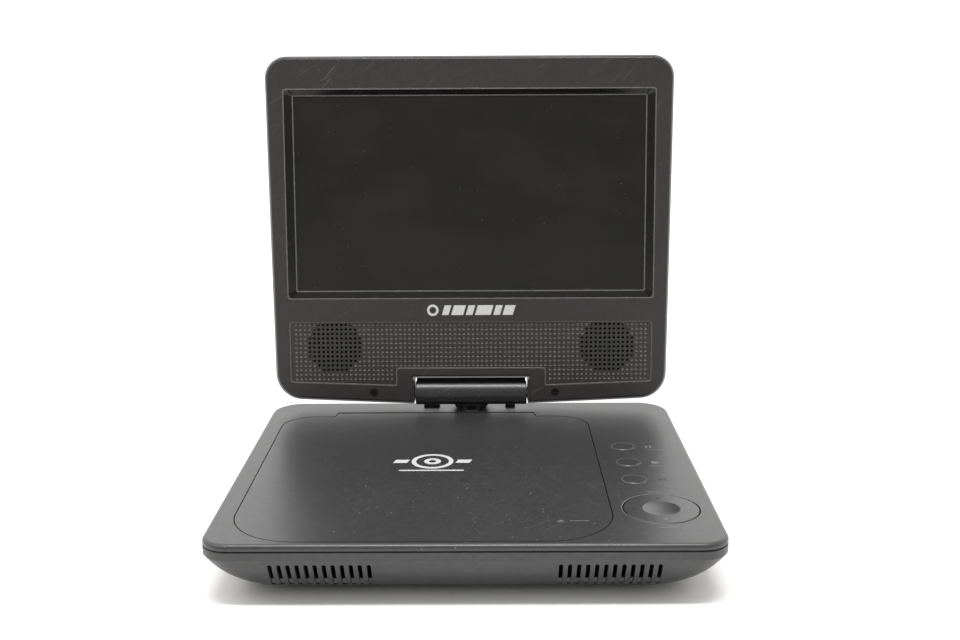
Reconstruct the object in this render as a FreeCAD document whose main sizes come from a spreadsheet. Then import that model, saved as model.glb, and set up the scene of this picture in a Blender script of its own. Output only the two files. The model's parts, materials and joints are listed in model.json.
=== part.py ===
import FreeCAD, Part
import math
import os
import re

import Sketcher

Vector = FreeCAD.Vector
doc = FreeCAD.newDocument("DvdPlayer")
sheet = doc.addObject("Spreadsheet::Sheet", "Sizes")
aliases = []
pieces = []


def size(alias, value):
    """One driving dimension, in millimetres or degrees, in the next row of the sheet."""
    row = len(aliases) + 1
    sheet.set("A%d" % row, alias)
    sheet.set("B%d" % row, repr(value))
    sheet.setAlias("B%d" % row, alias)
    aliases.append(alias)


# The base: outline measured from the swivel axis, heights from the table.
size("base_width", 180.0)
size("base_front", 151.7)
size("base_rear", 9.5)
size("front_corner", 10.0)
size("rear_corner", 13.0)
size("foot_height", 1.8)
size("case_height", 21.5)
size("cover_depth", 2.2)
size("cover_rim", 1.6)
size("case_wall", 2.0)
size("hull_band", 3.5)
size("hull_inset", 17.0)
size("hull_lean", 50)
size("seam_chamfer", 0.7)
# Rubber feet.
size("foot_radius", 4.0)
size("foot_across", 63.5)
size("foot_inset", 24.7)
# Vents in the front of the case.
size("vent_count", 12)
size("vent_pitch", 3.05)
size("vent_width", 1.45)
size("vent_start", 32.4)
size("vent_top", 7.6)
size("vent_bottom", 18.4)
# Disc door and the well below it.
size("door_left", 82.0)
size("door_right", 52.0)
size("door_front", 148.6)
size("door_rear", 12.2)
size("door_thickness", 1.6)
size("door_front_corner", 24.0)
size("door_rear_corner", 13.0)
size("door_gap", 0.4)
size("door_hinge_gap", 0.7)
size("tab_left", 59.3)
size("tab_right", 28.6)
size("tab_rear", 6.3)
size("tab_slant", 0.9)
size("door_axis_back", 8.9)
size("door_axis_drop", 1.9)
size("door_pin_radius", 0.6)
size("lug_width", 3.4)
size("spindle_left", 15.0)
size("spindle_back", 80.4)
size("well_radius", 62.5)
size("well_wall", 1.4)
size("well_floor", 1.2)
size("well_depth", 5.6)
size("deck_plate", 1.6)
size("deck_margin", 3.0)
size("deck_edge_clearance", 0.5)
# Loader.
size("hub_radius", 14.5)
size("hub_spigot", 7.4)
size("hub_rise", 1.4)
size("hub_spigot_height", 2.6)
size("motor_radius", 10.0)
size("shaft_radius", 1.2)
size("chassis_plate", 1.2)
size("damper_height", 1.2)
size("rod_radius", 1.2)
size("rod_spread", 15.0)
size("sled_length", 14.0)
size("sled_rest", 39.0)
size("sled_travel", 13.0)
size("lens_radius", 3.4)
size("screw_radius", 1.5)
# Fits that more than one piece shares.
size("running_clearance", 0.05)
size("slide_clearance", 0.3)
size("seat_clearance", 0.1)
# Keys on the right.
size("key_across", 64.1)
size("key_first", 53.5)
size("key_pitch", 19.0)
size("key_ring", 5.0)
size("key_cap", 4.3)
size("key_proud", 0.2)
size("key_travel", 0.6)
size("nav_across", 70.2)
size("nav_back", 120.5)
size("nav_hole", 14.3)
size("nav_radius", 13.6)
size("nav_dish", 6.8)
size("nav_dish_depth", 0.8)
size("nav_drop", 3.0)
size("key_board_thickness", 1.2)
size("switch_side", 6.0)
size("switch_height", 2.0)
# Side panel with the sockets.
size("panel_inset", 8.2)
size("panel_plate", 2.0)
size("panel_front", 106.0)
size("panel_rear", 50.5)
size("panel_low", 9.2)
size("panel_high", 20.4)
size("socket_height", 12.4)
size("socket_depth", 12.0)
size("jack_bore", 3.55)
size("dc_bore", 4.2)
size("dc_pin", 1.3)
size("wheel_radius", 5.6)
size("wheel_thickness", 2.4)
size("slider_length", 5.0)
size("slider_travel", 1.4)
# Battery.
size("cell_radius", 6.8)
size("cell_length", 36.0)
size("cell_first", 54.4)
size("cell_front", 49.7)
# Swivel and barrel.
size("axis_rise", 7.7)
size("swivel_across", 0.6)
size("swivel_radius", 4.0)
size("swivel_washer", 6.2)
size("barrel_radius", 5.25)
size("barrel_length", 50.4)
size("crest_rise", 7.2)
size("neck_top", 17.4)
size("neck_foot", 13.4)
size("neck_depth", 5.6)
size("neck_back", 3.6)
size("neck_lift", 0.2)
size("pin_radius", 1.5)
size("pin_reach", 34.0)
size("pin_collar", 2.6)
# The lid: heights up from the tilt axis.
size("rest_tilt", 5.58)
size("lid_top", 150.4)
size("lid_width", 179.0)
size("lid_foot_width", 175.4)
size("lid_corner", 9.5)
size("lid_foot_corner", 12.0)
size("lid_side_low", -1.1)
size("lid_mid_low", -3.8)
size("lid_half", 7.2)
size("lid_wall", 2.0)
size("lid_round", 3.6)
size("notch_gap", 0.5)
size("notch_top", 8.0)
size("bezel_inset", 0.8)
size("bezel_plate", 2.0)
size("bezel_round", 0.7)
size("rim_drop", 0.6)
size("window_half", 78.0)
size("window_low", 47.0)
size("window_high", 133.8)
size("recess_margin", 3.6)
size("recess_foot_margin", 3.0)
size("recess_head_margin", 2.5)
size("recess_depth", 1.5)
size("grille_half", 81.4)
size("grille_top", 33.7)
size("grille_side_low", 6.0)
size("grille_mid_low", 4.3)
size("grille_notch", 33.2)
size("grille_notch_top", 12.2)
size("grille_recess", 0.7)
size("grille_overlap", 1.0)
size("hole_pitch", 2.04)
size("hole_radius", 0.6)
size("hole_field", 12.3)
size("speaker_across", 61.2)
size("speaker_up", 22.3)
size("speaker_radius", 14.0)
size("glass_thickness", 1.0)
size("glass_margin", 1.6)
size("module_thickness", 5.2)
size("bezel_screw_left", 43.8)
size("bezel_screw_right", 37.8)
size("bezel_screw_up", 1.4)
size("screw_head", 1.75)
doc.recompute()


def named(text):
    """An expression in the sheet's aliases, with the sheet's name put before each."""
    return re.sub(
        r"[a-z_]+",
        lambda word: "Sizes." + word.group() if word.group() in aliases else word.group(),
        text,
    )


def number(text):
    """The present value of an expression."""
    got = sheet.evalExpression(named(text))
    return float(getattr(got, "Value", got))


def bind(thing, prop, text):
    thing.setExpression(prop, named(text))


def place(thing, x, y, z):
    bind(thing, "Placement.Base.x", x)
    bind(thing, "Placement.Base.y", y)
    bind(thing, "Placement.Base.z", z)


turns = {
    "X": FreeCAD.Rotation(Vector(0, 1, 0), 90),
    "Y": FreeCAD.Rotation(Vector(1, 0, 0), -90),
    "Z": FreeCAD.Rotation(),
}


def box(name, x, y, z, across, deep, tall):
    """A box from its low corner."""
    made = doc.addObject("Part::Box", name)
    bind(made, "Length", across)
    bind(made, "Width", deep)
    bind(made, "Height", tall)
    place(made, x, y, z)
    return made


def rod(name, axis, radius, length, x, y, z):
    """A cylinder that starts at a point and runs along +X, +Y or +Z."""
    made = doc.addObject("Part::Cylinder", name)
    made.Placement = FreeCAD.Placement(Vector(), turns[axis])
    bind(made, "Radius", radius)
    bind(made, "Height", length)
    place(made, x, y, z)
    return made


def taper(name, axis, radius_start, radius_end, length, x, y, z):
    """A cone frustum that starts at a point and runs along +X, +Y or +Z."""
    made = doc.addObject("Part::Cone", name)
    made.Placement = FreeCAD.Placement(Vector(), turns[axis])
    bind(made, "Radius1", radius_start)
    bind(made, "Radius2", radius_end)
    bind(made, "Height", length)
    place(made, x, y, z)
    return made


def fuse(name, *items):
    if len(items) == 1:
        return items[0]
    made = doc.addObject("Part::MultiFuse", name)
    made.Shapes = list(items)
    return made


def cut(name, base, *tools):
    made = doc.addObject("Part::Cut", name)
    made.Base = base
    made.Tool = fuse(name + "_tools", *tools)
    return made


def group(name, *items):
    made = doc.addObject("Part::Compound", name)
    made.Links = list(items)
    return made


def sketch_on(body, name, plane, lift):
    """A sketch on one of the body's own origin planes, lifted along that plane's normal."""
    made = body.newObject("Sketcher::SketchObject", name)
    face = [f for f in body.Origin.OriginFeatures if f.Role == plane][0]
    made.AttachmentSupport = [(face, "")]
    made.MapMode = "FlatFace"
    bind(made, "AttachmentOffset.Base.z", lift)
    return made


def held(sketch, kind, *args):
    """A constraint whose last argument is an expression."""
    index = sketch.addConstraint(Sketcher.Constraint(kind, *args[:-1], number(args[-1])))
    bind(sketch, "Constraints[%d]" % index, args[-1])


def circle(sketch, x, y, radius):
    """A circle whose centre and radius follow expressions."""
    start = Part.Circle(Vector(number(x), number(y), 0), Vector(0, 0, 1), number(radius))
    index = sketch.addGeometry(start)
    held(sketch, "Radius", index, radius)
    held(sketch, "DistanceX", index, 3, x)
    held(sketch, "DistanceY", index, 3, y)


def outline(sketch, corners):
    """A closed outline of straight sides, each corner (x, y, radius) rounded by its radius."""
    points = [Vector(number(x), number(y), 0) for x, y, _ in corners]
    radii = [number(r) for _, _, r in corners]
    count = len(corners)
    entries = []
    exits = []
    arcs = []
    lefts = []
    for i in range(count):
        before = (points[i - 1] - points[i]).normalize()
        after = (points[(i + 1) % count] - points[i]).normalize()
        half = before.getAngle(after) / 2
        reach = radii[i] / math.tan(half)
        entries.append(points[i] + before * reach)
        exits.append(points[i] + after * reach)
        middle = (before + after).normalize()
        centre = points[i] + middle * (radii[i] / math.sin(half))
        left = before.cross(after).z < 0
        ends = (entries[i], exits[i]) if left else (exits[i], entries[i])
        angles = [math.atan2(e.y - centre.y, e.x - centre.x) for e in ends]
        if angles[1] < angles[0]:
            angles[1] += 2 * math.pi
        whole = Part.Circle(centre, Vector(0, 0, 1), radii[i])
        arcs.append(Part.ArcOfCircle(whole, angles[0], angles[1]))
        lefts.append(left)
    sides = [
        sketch.addGeometry(Part.LineSegment(exits[i - 1], entries[i])) for i in range(count)
    ]
    rounds = [sketch.addGeometry(arc) for arc in arcs]
    marks = [sketch.addGeometry(Part.Point(p), True) for p in points]
    rules = []
    texts = []
    for i in range(count):
        corner = rounds[i]
        following = sides[(i + 1) % count]
        start, end = (1, 2) if lefts[i] else (2, 1)
        rules.append(Sketcher.Constraint("Tangent", sides[i], 2, corner, start))
        rules.append(Sketcher.Constraint("Tangent", corner, end, following, 1))
        rules.append(Sketcher.Constraint("PointOnObject", marks[i], 1, sides[i]))
        rules.append(Sketcher.Constraint("PointOnObject", marks[i], 1, following))
        texts.append((len(rules), corners[i][2]))
        rules.append(Sketcher.Constraint("Radius", corner, radii[i]))
        texts.append((len(rules), corners[i][0]))
        rules.append(Sketcher.Constraint("DistanceX", marks[i], 1, points[i].x))
        texts.append((len(rules), corners[i][1]))
        rules.append(Sketcher.Constraint("DistanceY", marks[i], 1, points[i].y))
    start = sketch.ConstraintCount
    sketch.addConstraint(rules)
    for index, text in texts:
        bind(sketch, "Constraints[%d]" % (start + index), text)


def rectangle(left, right, low, high, low_radius, high_radius):
    """The corners of a rounded rectangle."""
    return [
        (left, low, low_radius),
        (right, low, low_radius),
        (right, high, high_radius),
        (left, high, high_radius),
    ]


def body_named(name):
    return doc.addObject("PartDesign::Body", name)


def pad(body, sketch, name, length):
    made = body.newObject("PartDesign::Pad", name)
    made.Profile = sketch
    bind(made, "Length", length)
    return made


def pocket(body, sketch, name, depth, upward=False):
    """A pocket that must take material away."""
    doc.recompute()
    before = body.Shape.Volume
    made = body.newObject("PartDesign::Pocket", name)
    made.Profile = sketch
    made.Reversed = upward
    bind(made, "Length", depth)
    doc.recompute()
    if body.Shape.Volume > before - 1e-3:
        raise RuntimeError(name + " takes nothing away")
    return made


def round_edges(body, name, kind, radius, wanted):
    """A fillet or chamfer on the edges of the body's tip for which wanted(edge) is true."""
    doc.recompute()
    tip = body.Tip
    chosen = ["Edge%d" % (i + 1) for i, e in enumerate(tip.Shape.Edges) if wanted(e)]
    made = body.newObject("PartDesign::" + kind, name)
    made.Base = (tip, chosen)
    bind(made, "Radius" if kind == "Fillet" else "Size", radius)
    return made


top = "(foot_height + case_height)"
half = "base_width / 2"
swivel_y = (
    "((base_front - ((lid_top - lid_round) * sin(rest_tilt * 1 deg)"
    " + (lid_half - lid_round) * cos(rest_tilt * 1 deg) + lid_round)) / 2)"
)


def on_base(label, made):
    """Finishes a sub-part of the base: its name, and its place behind the outline's centre."""
    made.Label = label
    place(made, "0", swivel_y, "0")
    pieces.append(made)


def on_swivel(label, made):
    """Finishes a sub-part that turns with the swivel, modelled on its axis."""
    made.Label = label
    place(made, "swivel_across", swivel_y, "0")
    pieces.append(made)


def on_lid(label, made):
    """Finishes a sub-part of the lid, modelled upright on the tilt axis."""
    made.Label = label
    made.Placement = FreeCAD.Placement(
        Vector(), FreeCAD.Rotation(Vector(-1, 0, 0), number("rest_tilt"))
    )
    place(made, "swivel_across", swivel_y, top + " + axis_rise")
    bind(made, "Placement.Rotation.Angle", "rest_tilt")
    pieces.append(made)


# ---- bottom case: a straight band over an elliptical hull, hollowed by a second hull ----
case_top = "(%s - cover_depth)" % top
band_low = "(%s - hull_band)" % case_top


def hull_section(body, name, step, steps, shrink, floor):
    """One level of the hull: the outline drawn in by the ellipse at that height."""
    angle = "((hull_lean + (90 - hull_lean) * %.4f) * 1 deg)" % (step / steps)
    inset = "hull_inset * (1 - cos%s / cos(hull_lean * 1 deg))" % angle
    fallen = "(sin%s - sin(hull_lean * 1 deg)) / (1 - sin(hull_lean * 1 deg))" % angle
    drawn = "(%s + %s)" % (inset, shrink)
    level = "%s - (%s - %s) * %s" % (band_low, band_low, floor, fallen)
    made = sketch_on(body, name, "XY_Plane", level)
    front_round = "front_corner + %s * 0.45 - %s" % (inset, shrink)
    rear_round = "rear_corner + %s * 0.45 - %s" % (inset, shrink)
    corners = rectangle(
        "-(%s - %s)" % (half, drawn),
        "%s - %s" % (half, drawn),
        "-(base_front - %s)" % drawn,
        "base_rear - %s" % drawn,
        front_round,
        rear_round,
    )
    outline(made, corners)
    return made


def hull(body, kind, name, steps, shrink, floor):
    """The curved hull below the band, added or taken away in level steps."""
    levels = [
        hull_section(body, "%s_level_%d" % (name, i), i, steps, shrink, floor)
        for i in range(steps + 1)
    ]
    made = body.newObject("PartDesign::%sLoft" % kind, name)
    made.Profile = levels[0]
    made.Sections = levels[1:]
    made.Ruled = True
    return made


case = body_named("Case")
band = sketch_on(case, "band_outline", "XY_Plane", band_low)
outline(
    band,
    rectangle(
        "-" + half, half, "-base_front", "base_rear", "front_corner + 0", "rear_corner + 0"
    ),
)
pad(case, band, "band_pad", "hull_band")
hull(case, "Additive", "hull_outside", 10, "0", "foot_height")
doc.recompute()
round_edges(
    case,
    "seam",
    "Chamfer",
    "seam_chamfer",
    lambda e: e.BoundBox.ZMin > number(case_top) - 0.01,
)
inner = sketch_on(case, "band_inside", "XY_Plane", case_top)
outline(
    inner,
    rectangle(
        "-(%s - case_wall)" % half,
        "%s - case_wall" % half,
        "-(base_front - case_wall)",
        "base_rear - case_wall",
        "front_corner - case_wall",
        "rear_corner - case_wall",
    ),
)
pocket(case, inner, "band_hollow", "hull_band")
doc.recompute()
before_hollow = case.Shape.Volume
hull(case, "Subtractive", "hull_inside", 8, "case_wall", "(foot_height + case_wall)")
doc.recompute()
if case.Shape.Volume > 0.6 * before_hollow:
    raise RuntimeError("the case is not hollow")
floor_top = "(foot_height + case_wall)"
deck_top = case_top
deck_under = "(%s - deck_plate)" % deck_top
boss_sites = [
    ("-(door_left - 16)", "-(door_front - 18.6)"),
    ("door_right - 6", "-(door_front - 18.6)"),
    ("-(door_left - 16)", "-(door_rear + 15.8)"),
    ("door_right - 12", "-(door_rear + 15.8)"),
]
bosses = sketch_on(case, "boss_circles", "XY_Plane", floor_top + " - 0.2")
for x, y in boss_sites:
    circle(bosses, x, y, "3.2")
pad(case, bosses, "boss_pad", "%s - %s + 0.2" % (deck_under, floor_top))
holes = sketch_on(case, "boss_holes", "XY_Plane", deck_under)
for x, y in boss_sites:
    circle(holes, x, y, "screw_radius + 0.1")
pocket(case, holes, "boss_bores", "%s - foot_height" % deck_under)
heads = sketch_on(case, "boss_heads", "XY_Plane", "foot_height + 1.9")
for x, y in boss_sites:
    circle(heads, x, y, "screw_head + 0.5")
pocket(case, heads, "boss_counterbores", "1.9")
bay = sketch_on(case, "bay_window", "YZ_Plane", "%s + 5" % half)
outline(
    bay,
    rectangle(
        "-(panel_front - 1)",
        "-(panel_rear + 1)",
        "panel_low + 0.9",
        "panel_high - 0.9",
        "1.5",
        "1.5",
    ),
)
pocket(case, bay, "bay_opening", "12")
for side, start in (("right", "vent_start"), ("left", "-(vent_start + vent_pitch * (vent_count - 1))")):
    slot = sketch_on(case, "vent_" + side, "XZ_Plane", "base_front + 1")
    outline(
        slot,
        rectangle(
            start + " - vent_width / 2",
            start + " + vent_width / 2",
            "%s - vent_bottom" % top,
            "%s - vent_top" % top,
            "vent_width * 0.48",
            "vent_width * 0.48",
        ),
    )
    first = pocket(case, slot, "vent_first_" + side, "17")
    row = case.newObject("PartDesign::LinearPattern", "vent_row_" + side)
    row.Originals = [first]
    row.Direction = (slot, ["H_Axis"])
    bind(row, "Length", "vent_pitch * (vent_count - 1)")
    bind(row, "Occurrences", "vent_count")
    case.Tip = row
    doc.recompute()
on_base("base_bottom_case", case)

# ---- rubber feet ----
feet = []
for i, (x, y) in enumerate(
    (sx + "foot_across", y)
    for sx in ("-", "")
    for y in ("-(base_front - foot_inset)", "base_rear - foot_inset")
):
    pad_low = taper("foot_low_%d" % i, "Z", "foot_radius - 0.35", "foot_radius", "0.35", x, y, "0")
    pad_high = rod("foot_high_%d" % i, "Z", "foot_radius", "foot_height - 0.35", x, y, "0.35")
    feet.append(fuse("foot_%d" % i, pad_low, pad_high))
on_base("rubber_feet", group("feet", *feet))

# ---- case screws, up through the bosses into the deck ----
screws = []
for i, (x, y) in enumerate(boss_sites):
    shank = rod(
        "screw_shank_%d" % i, "Z", "screw_radius", "%s - foot_height - 1.0" % deck_under, x, y,
        "foot_height + 1.0"
    )
    head = rod("screw_head_%d" % i, "Z", "screw_head + 0.3", "1.5", x, y, "foot_height + 0.4")
    cross = box("screw_cross_%d" % i, x + " - 1.2", y + " - 0.3", "foot_height + 0.3", "2.4", "0.6", "0.9")
    other = box("screw_slot_%d" % i, x + " - 0.3", y + " - 1.2", "foot_height + 0.3", "0.6", "2.4", "0.9")
    screws.append(cut("screw_%d" % i, fuse("screw_body_%d" % i, shank, head), cross, other))
on_base("case_screws", group("screws", *screws))


# ---- door and cover outlines ----
def door_outline(grow, hinge_grow, rear_grow):
    """The door's outline with its hinge tab, grown by a gap on each side."""
    front_round = "door_front_corner + %s" % grow
    rear_round = "door_rear_corner + %s" % grow
    return [
        ("-(door_left + %s)" % grow, "-(door_front + %s)" % grow, front_round),
        ("door_right + %s" % grow, "-(door_front + %s)" % grow, front_round),
        ("door_right + %s" % grow, "-(door_rear - %s)" % rear_grow, rear_round),
        ("tab_right + tab_slant + %s" % grow, "-(door_rear - %s)" % rear_grow, "1.0"),
        ("tab_right + %s" % grow, "-(tab_rear - %s)" % hinge_grow, "1.0"),
        ("-(tab_left + %s)" % grow, "-(tab_rear - %s)" % hinge_grow, "1.0"),
        ("-(tab_left + tab_slant + %s)" % grow, "-(door_rear - %s)" % rear_grow, "1.0"),
        ("-(door_left + %s)" % grow, "-(door_rear - %s)" % rear_grow, rear_round),
    ]


key_sites = [
    ("key_across", "-(key_first + key_pitch * %d)" % i) for i in range(3)
]
cover = body_named("Cover")
sheet_outline = sketch_on(cover, "cover_outline", "XY_Plane", case_top)
outline(
    sheet_outline,
    rectangle("-" + half, half, "-base_front", "base_rear", "front_corner + 0", "rear_corner + 0"),
)
pad(cover, sheet_outline, "cover_pad", "cover_depth")
round_edges(
    cover, "cover_rim_round", "Fillet", "cover_rim", lambda e: e.BoundBox.ZMin > number(top) - 0.01
)
openings = sketch_on(cover, "cover_openings", "XY_Plane", top)
outline(openings, door_outline("door_gap", "door_hinge_gap", "(door_gap + 0.2)"))
for x, y in key_sites:
    circle(openings, x, y, "key_ring")
circle(openings, "nav_across", "-nav_back", "nav_hole")
circle(openings, "swivel_across", "0", "swivel_radius")
pocket(cover, openings, "cover_cut", "cover_depth")
lug_sites = [
    "-(tab_left + tab_slant + 0.6 + lug_width)",
    "tab_right + tab_slant + 0.6",
]
housings = sketch_on(cover, "lug_housings", "XY_Plane", case_top)
pin_gap = "(tab_slant + 0.4)"
for x, left, right in (
    (lug_sites[0], "slide_clearance", pin_gap),
    (lug_sites[1], pin_gap, "slide_clearance"),
):
    outline(
        housings,
        rectangle(
            "%s - %s" % (x, left),
            "%s + lug_width + %s" % (x, right),
            "-(door_axis_back + 2.4)",
            "-(door_axis_back - 2.4)",
            "0.3",
            "0.3",
        ),
    )
pocket(cover, housings, "lug_recess", "cover_depth - 0.7", upward=True)
on_base("base_top_cover", cover)

# ---- disc deck: a flat plate with the round disc well sunk into it ----
door_axis_z = "(%s - door_axis_drop)" % top
well_low = "(%s - well_depth - well_floor)" % deck_top
deck = body_named("Deck")
plate = sketch_on(deck, "deck_outline", "XY_Plane", deck_under)
outline(
    plate,
    rectangle(
        "-(door_left + deck_margin)",
        "door_right + deck_margin",
        "-(door_front + door_gap + deck_edge_clearance)",
        "-(door_rear + 1.0)",
        "door_front_corner",
        "3.0",
    ),
)
pad(deck, plate, "deck_pad", "deck_plate")
tub = sketch_on(deck, "tub_outline", "XY_Plane", well_low)
circle(tub, "-spindle_left", "-spindle_back", "well_radius + well_wall")
pad(deck, tub, "tub_pad", "%s - %s" % (deck_top, well_low))
tub_in = sketch_on(deck, "tub_inside", "XY_Plane", deck_top)
circle(tub_in, "-spindle_left", "-spindle_back", "well_radius")
pocket(deck, tub_in, "tub_pocket", "well_depth")
finger = sketch_on(deck, "finger_notch", "XY_Plane", deck_top)
outline(
    finger,
    rectangle(
        "-(spindle_left + 13)",
        "-(spindle_left - 13)",
        "-(spindle_back + well_radius + 3)",
        "-(spindle_back + well_radius - 8)",
        "2.5",
        "2.5",
    ),
)
pocket(deck, finger, "finger_pocket", "deck_plate * 0.6")
slot_cut = sketch_on(deck, "pickup_slot", "XY_Plane", deck_top)
outline(
    slot_cut,
    rectangle(
        "-spindle_left",
        "sled_rest - spindle_left + sled_travel + 8",
        "-(spindle_back + 9.5)",
        "-(spindle_back - 9.5)",
        "2.0",
        "2.0",
    ),
)
pocket(deck, slot_cut, "pickup_opening", "well_depth + well_floor")
hub_hole = sketch_on(deck, "hub_hole", "XY_Plane", deck_top)
circle(hub_hole, "-spindle_left", "-spindle_back", "hub_radius + 1.5")
pocket(deck, hub_hole, "hub_opening", "well_depth + well_floor")
latch_slot = sketch_on(deck, "latch_slot", "XY_Plane", deck_top)
outline(
    latch_slot,
    rectangle(
        "door_right - 20",
        "door_right - 10",
        "-(door_front - 2.0)",
        "-(door_front - 6.6)",
        "0.5",
        "0.5",
    ),
)
pocket(deck, latch_slot, "latch_opening", "deck_plate")
lugs = []
for i, x in enumerate(lug_sites):
    lug = box(
        "lug_%d" % i,
        x,
        "-(door_rear + 1.6)",
        deck_under,
        "lug_width",
        "door_rear + 1.6 - door_axis_back + 1.8",
        "%s - %s + 1.1" % (door_axis_z, deck_under),
    )
    lugs.append(lug)
lug_trims = [
    box(
        "lug_trim_%d" % i,
        x + " - 0.5",
        "-(door_rear + 2)",
        deck_top,
        "lug_width + 1",
        "door_rear + 2 - door_axis_back - 2.0",
        "3",
    )
    for i, x in enumerate(lug_sites)
]
deck_bores = [
    rod(
        "lug_bore_%d" % i,
        "X",
        "door_pin_radius + running_clearance",
        "lug_width + 1",
        x + " - 0.5",
        "-door_axis_back",
        door_axis_z,
    )
    for i, x in enumerate(lug_sites)
]
on_base(
    "disc_well_deck",
    cut("deck_done", fuse("deck_lugs", deck, *lugs), *lug_trims, *deck_bores),
)

# ---- disc door ----
door = body_named("Door")
door_low = "(%s - door_thickness)" % top
leaf = sketch_on(door, "door_outline", "XY_Plane", door_low)
outline(leaf, door_outline("0", "0", "0"))
pad(door, leaf, "door_pad", "door_thickness")
clamp = sketch_on(door, "clamp_ring", "XY_Plane", door_low + " - 0.6")
circle(clamp, "-spindle_left", "-spindle_back", "16")
circle(clamp, "-spindle_left", "-spindle_back", "12")
pad(door, clamp, "clamp_pad", "0.8")
knuckle_sites = ["-(tab_left - 0.3)", "tab_right - 0.3 - 3.0"]
knuckles = [
    box(
        "knuckle_%d" % i,
        x,
        "-(door_axis_back + 1.3)",
        door_axis_z + " - 1.2",
        "3.0",
        "2.6",
        "door_axis_drop + 1.2 - door_thickness * 0.5",
    )
    for i, x in enumerate(knuckle_sites)
]
hook = box(
    "hook_leg",
    "door_right - 15.2",
    "-(door_front - 3.4)",
    door_low + " - 3.6",
    "1.4",
    "1.5",
    "3.8",
)
tab_bevel = box(
    "tab_bevel",
    "-(tab_left + 1)",
    "-(tab_rear + door_thickness * 0.5)",
    top,
    "tab_left + tab_right + 2",
    "3",
    "3",
)
tab_bevel.Placement = FreeCAD.Placement(
    tab_bevel.Placement.Base, FreeCAD.Rotation(Vector(1, 0, 0), -45)
)
pin_length = "(tab_slant + lug_width + 3.4)"
pin_starts = [
    "-(tab_left + tab_slant + 0.4 + lug_width)",
    "tab_right - 3.0",
]
door_bores = [
    rod(
        "knuckle_bore_%d" % i,
        "X",
        "door_pin_radius",
        pin_length,
        x,
        "-door_axis_back",
        door_axis_z,
    )
    for i, x in enumerate(pin_starts)
]
on_base(
    "disc_door", cut("door_done", fuse("door_parts", door, *knuckles, hook), tab_bevel, *door_bores)
)
door_pins = [
    rod("door_pin_%d" % i, "X", "door_pin_radius", pin_length, x, "-door_axis_back", door_axis_z)
    for i, x in enumerate(pin_starts)
]
on_base("door_hinge_pins", group("door_pins", *door_pins))

# ---- door latch below the deck, at the front right ----
latch_bar = box(
    "latch_bar",
    "door_right - 26",
    "-(door_front - 2.6)",
    deck_under + " - 2.4",
    "9.4",
    "3.2",
    "2.1",
)
latch_catch = box(
    "latch_catch",
    "door_right - 18",
    "-(door_front - 2.6)",
    deck_under + " - 2.4",
    "1.2",
    "3.2",
    "3.2",
)
on_base("door_latch", fuse("latch", latch_bar, latch_catch))

# ---- loader: dampers, chassis, spindle motor, hub, rods, sled, lead screw ----
sx = "-spindle_left"
sy = "-spindle_back"
chassis_low = "(%s + damper_height)" % floor_top
chassis_high = "(%s + chassis_plate)" % chassis_low
chassis_left = "(-spindle_left - 20)"
chassis_right = "(sled_rest - spindle_left + sled_travel + 14)"
rod_z = "(%s + 4.4)" % chassis_high
plate_box = box(
    "chassis_sheet",
    chassis_left,
    sy + " - 26",
    chassis_low,
    "%s - %s" % (chassis_right, chassis_left),
    "52",
    "chassis_plate",
)
rod_from = "(-spindle_left + 11.5)"
rod_to = "(%s - 2)" % chassis_right
posts = []
for i, y in enumerate(("rod_spread", "-rod_spread")):
    for j, x in enumerate((rod_from, rod_to + " - 2.4")):
        posts.append(
            box(
                "rod_post_%d_%d" % (i, j),
                x,
                "%s + %s - 2.4" % (sy, y),
                chassis_high + " - 0.2",
                "2.4",
                "4.8",
                "6.6",
            )
        )
screw_y = "(%s + rod_spread + 7)" % sy
for j, x in enumerate((rod_from, rod_to + " - 2.4")):
    posts.append(
        box("screw_post_%d" % j, x, screw_y + " - 2.2", chassis_high + " - 0.2", "2.4", "4.4", "6.6")
    )
rod_bores = [
    rod("rod_bore_%d" % i, "X", "rod_radius", "90", rod_from + " - 1", "%s + %s" % (sy, y), rod_z)
    for i, y in enumerate(("rod_spread", "-rod_spread"))
]
rod_bores.append(
    rod("lead_bore", "X", "rod_radius + running_clearance", "90", rod_from + " - 1", screw_y, rod_z)
)
on_base("loader_chassis", cut("chassis", fuse("chassis_parts", plate_box, *posts), *rod_bores))
dampers = [
    rod("damper_%d_%d" % (i, j), "Z", "3.2", "damper_height", x, y, floor_top)
    for i, x in enumerate((chassis_left + " + 4", chassis_right + " - 4"))
    for j, y in enumerate((sy + " - 21", sy + " + 21"))
]
on_base("damper_grommets", group("dampers", *dampers))
guide_rods = [
    rod(
        "guide_rod_%d" % i,
        "X",
        "rod_radius",
        "%s - %s" % (rod_to, rod_from),
        rod_from,
        "%s + %s" % (sy, y),
        rod_z,
    )
    for i, y in enumerate(("rod_spread", "-rod_spread"))
]
on_base("sled_guide_rods", group("guide_rods", *guide_rods))
motor_top = "(%s - 0.8)" % well_low
motor_can = rod(
    "motor_can", "Z", "motor_radius", "%s - %s" % (motor_top, chassis_high), sx, sy, chassis_high
)
motor_bore = rod(
    "motor_bore", "Z", "shaft_radius + running_clearance", "20", sx, sy, chassis_high + " + 1.2"
)
on_base("spindle_motor", cut("motor", motor_can, motor_bore))
hub_low = "(%s - 0.5)" % well_low
hub_plate_top = "(%s + well_floor + hub_rise)" % well_low
hub_shaft = rod(
    "hub_shaft", "Z", "shaft_radius", "%s - %s - 1.5" % (hub_low, chassis_high), sx, sy,
    chassis_high + " + 1.6"
)
hub_plate = rod("hub_plate", "Z", "hub_radius", "%s - %s" % (hub_plate_top, hub_low), sx, sy, hub_low)
hub_post = rod("hub_post", "Z", "hub_spigot", "hub_spigot_height - 0.8", sx, sy, hub_plate_top)
hub_lead = taper(
    "hub_lead", "Z", "hub_spigot", "hub_spigot - 1.2", "0.8", sx, sy,
    hub_plate_top + " + hub_spigot_height - 0.8"
)
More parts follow.
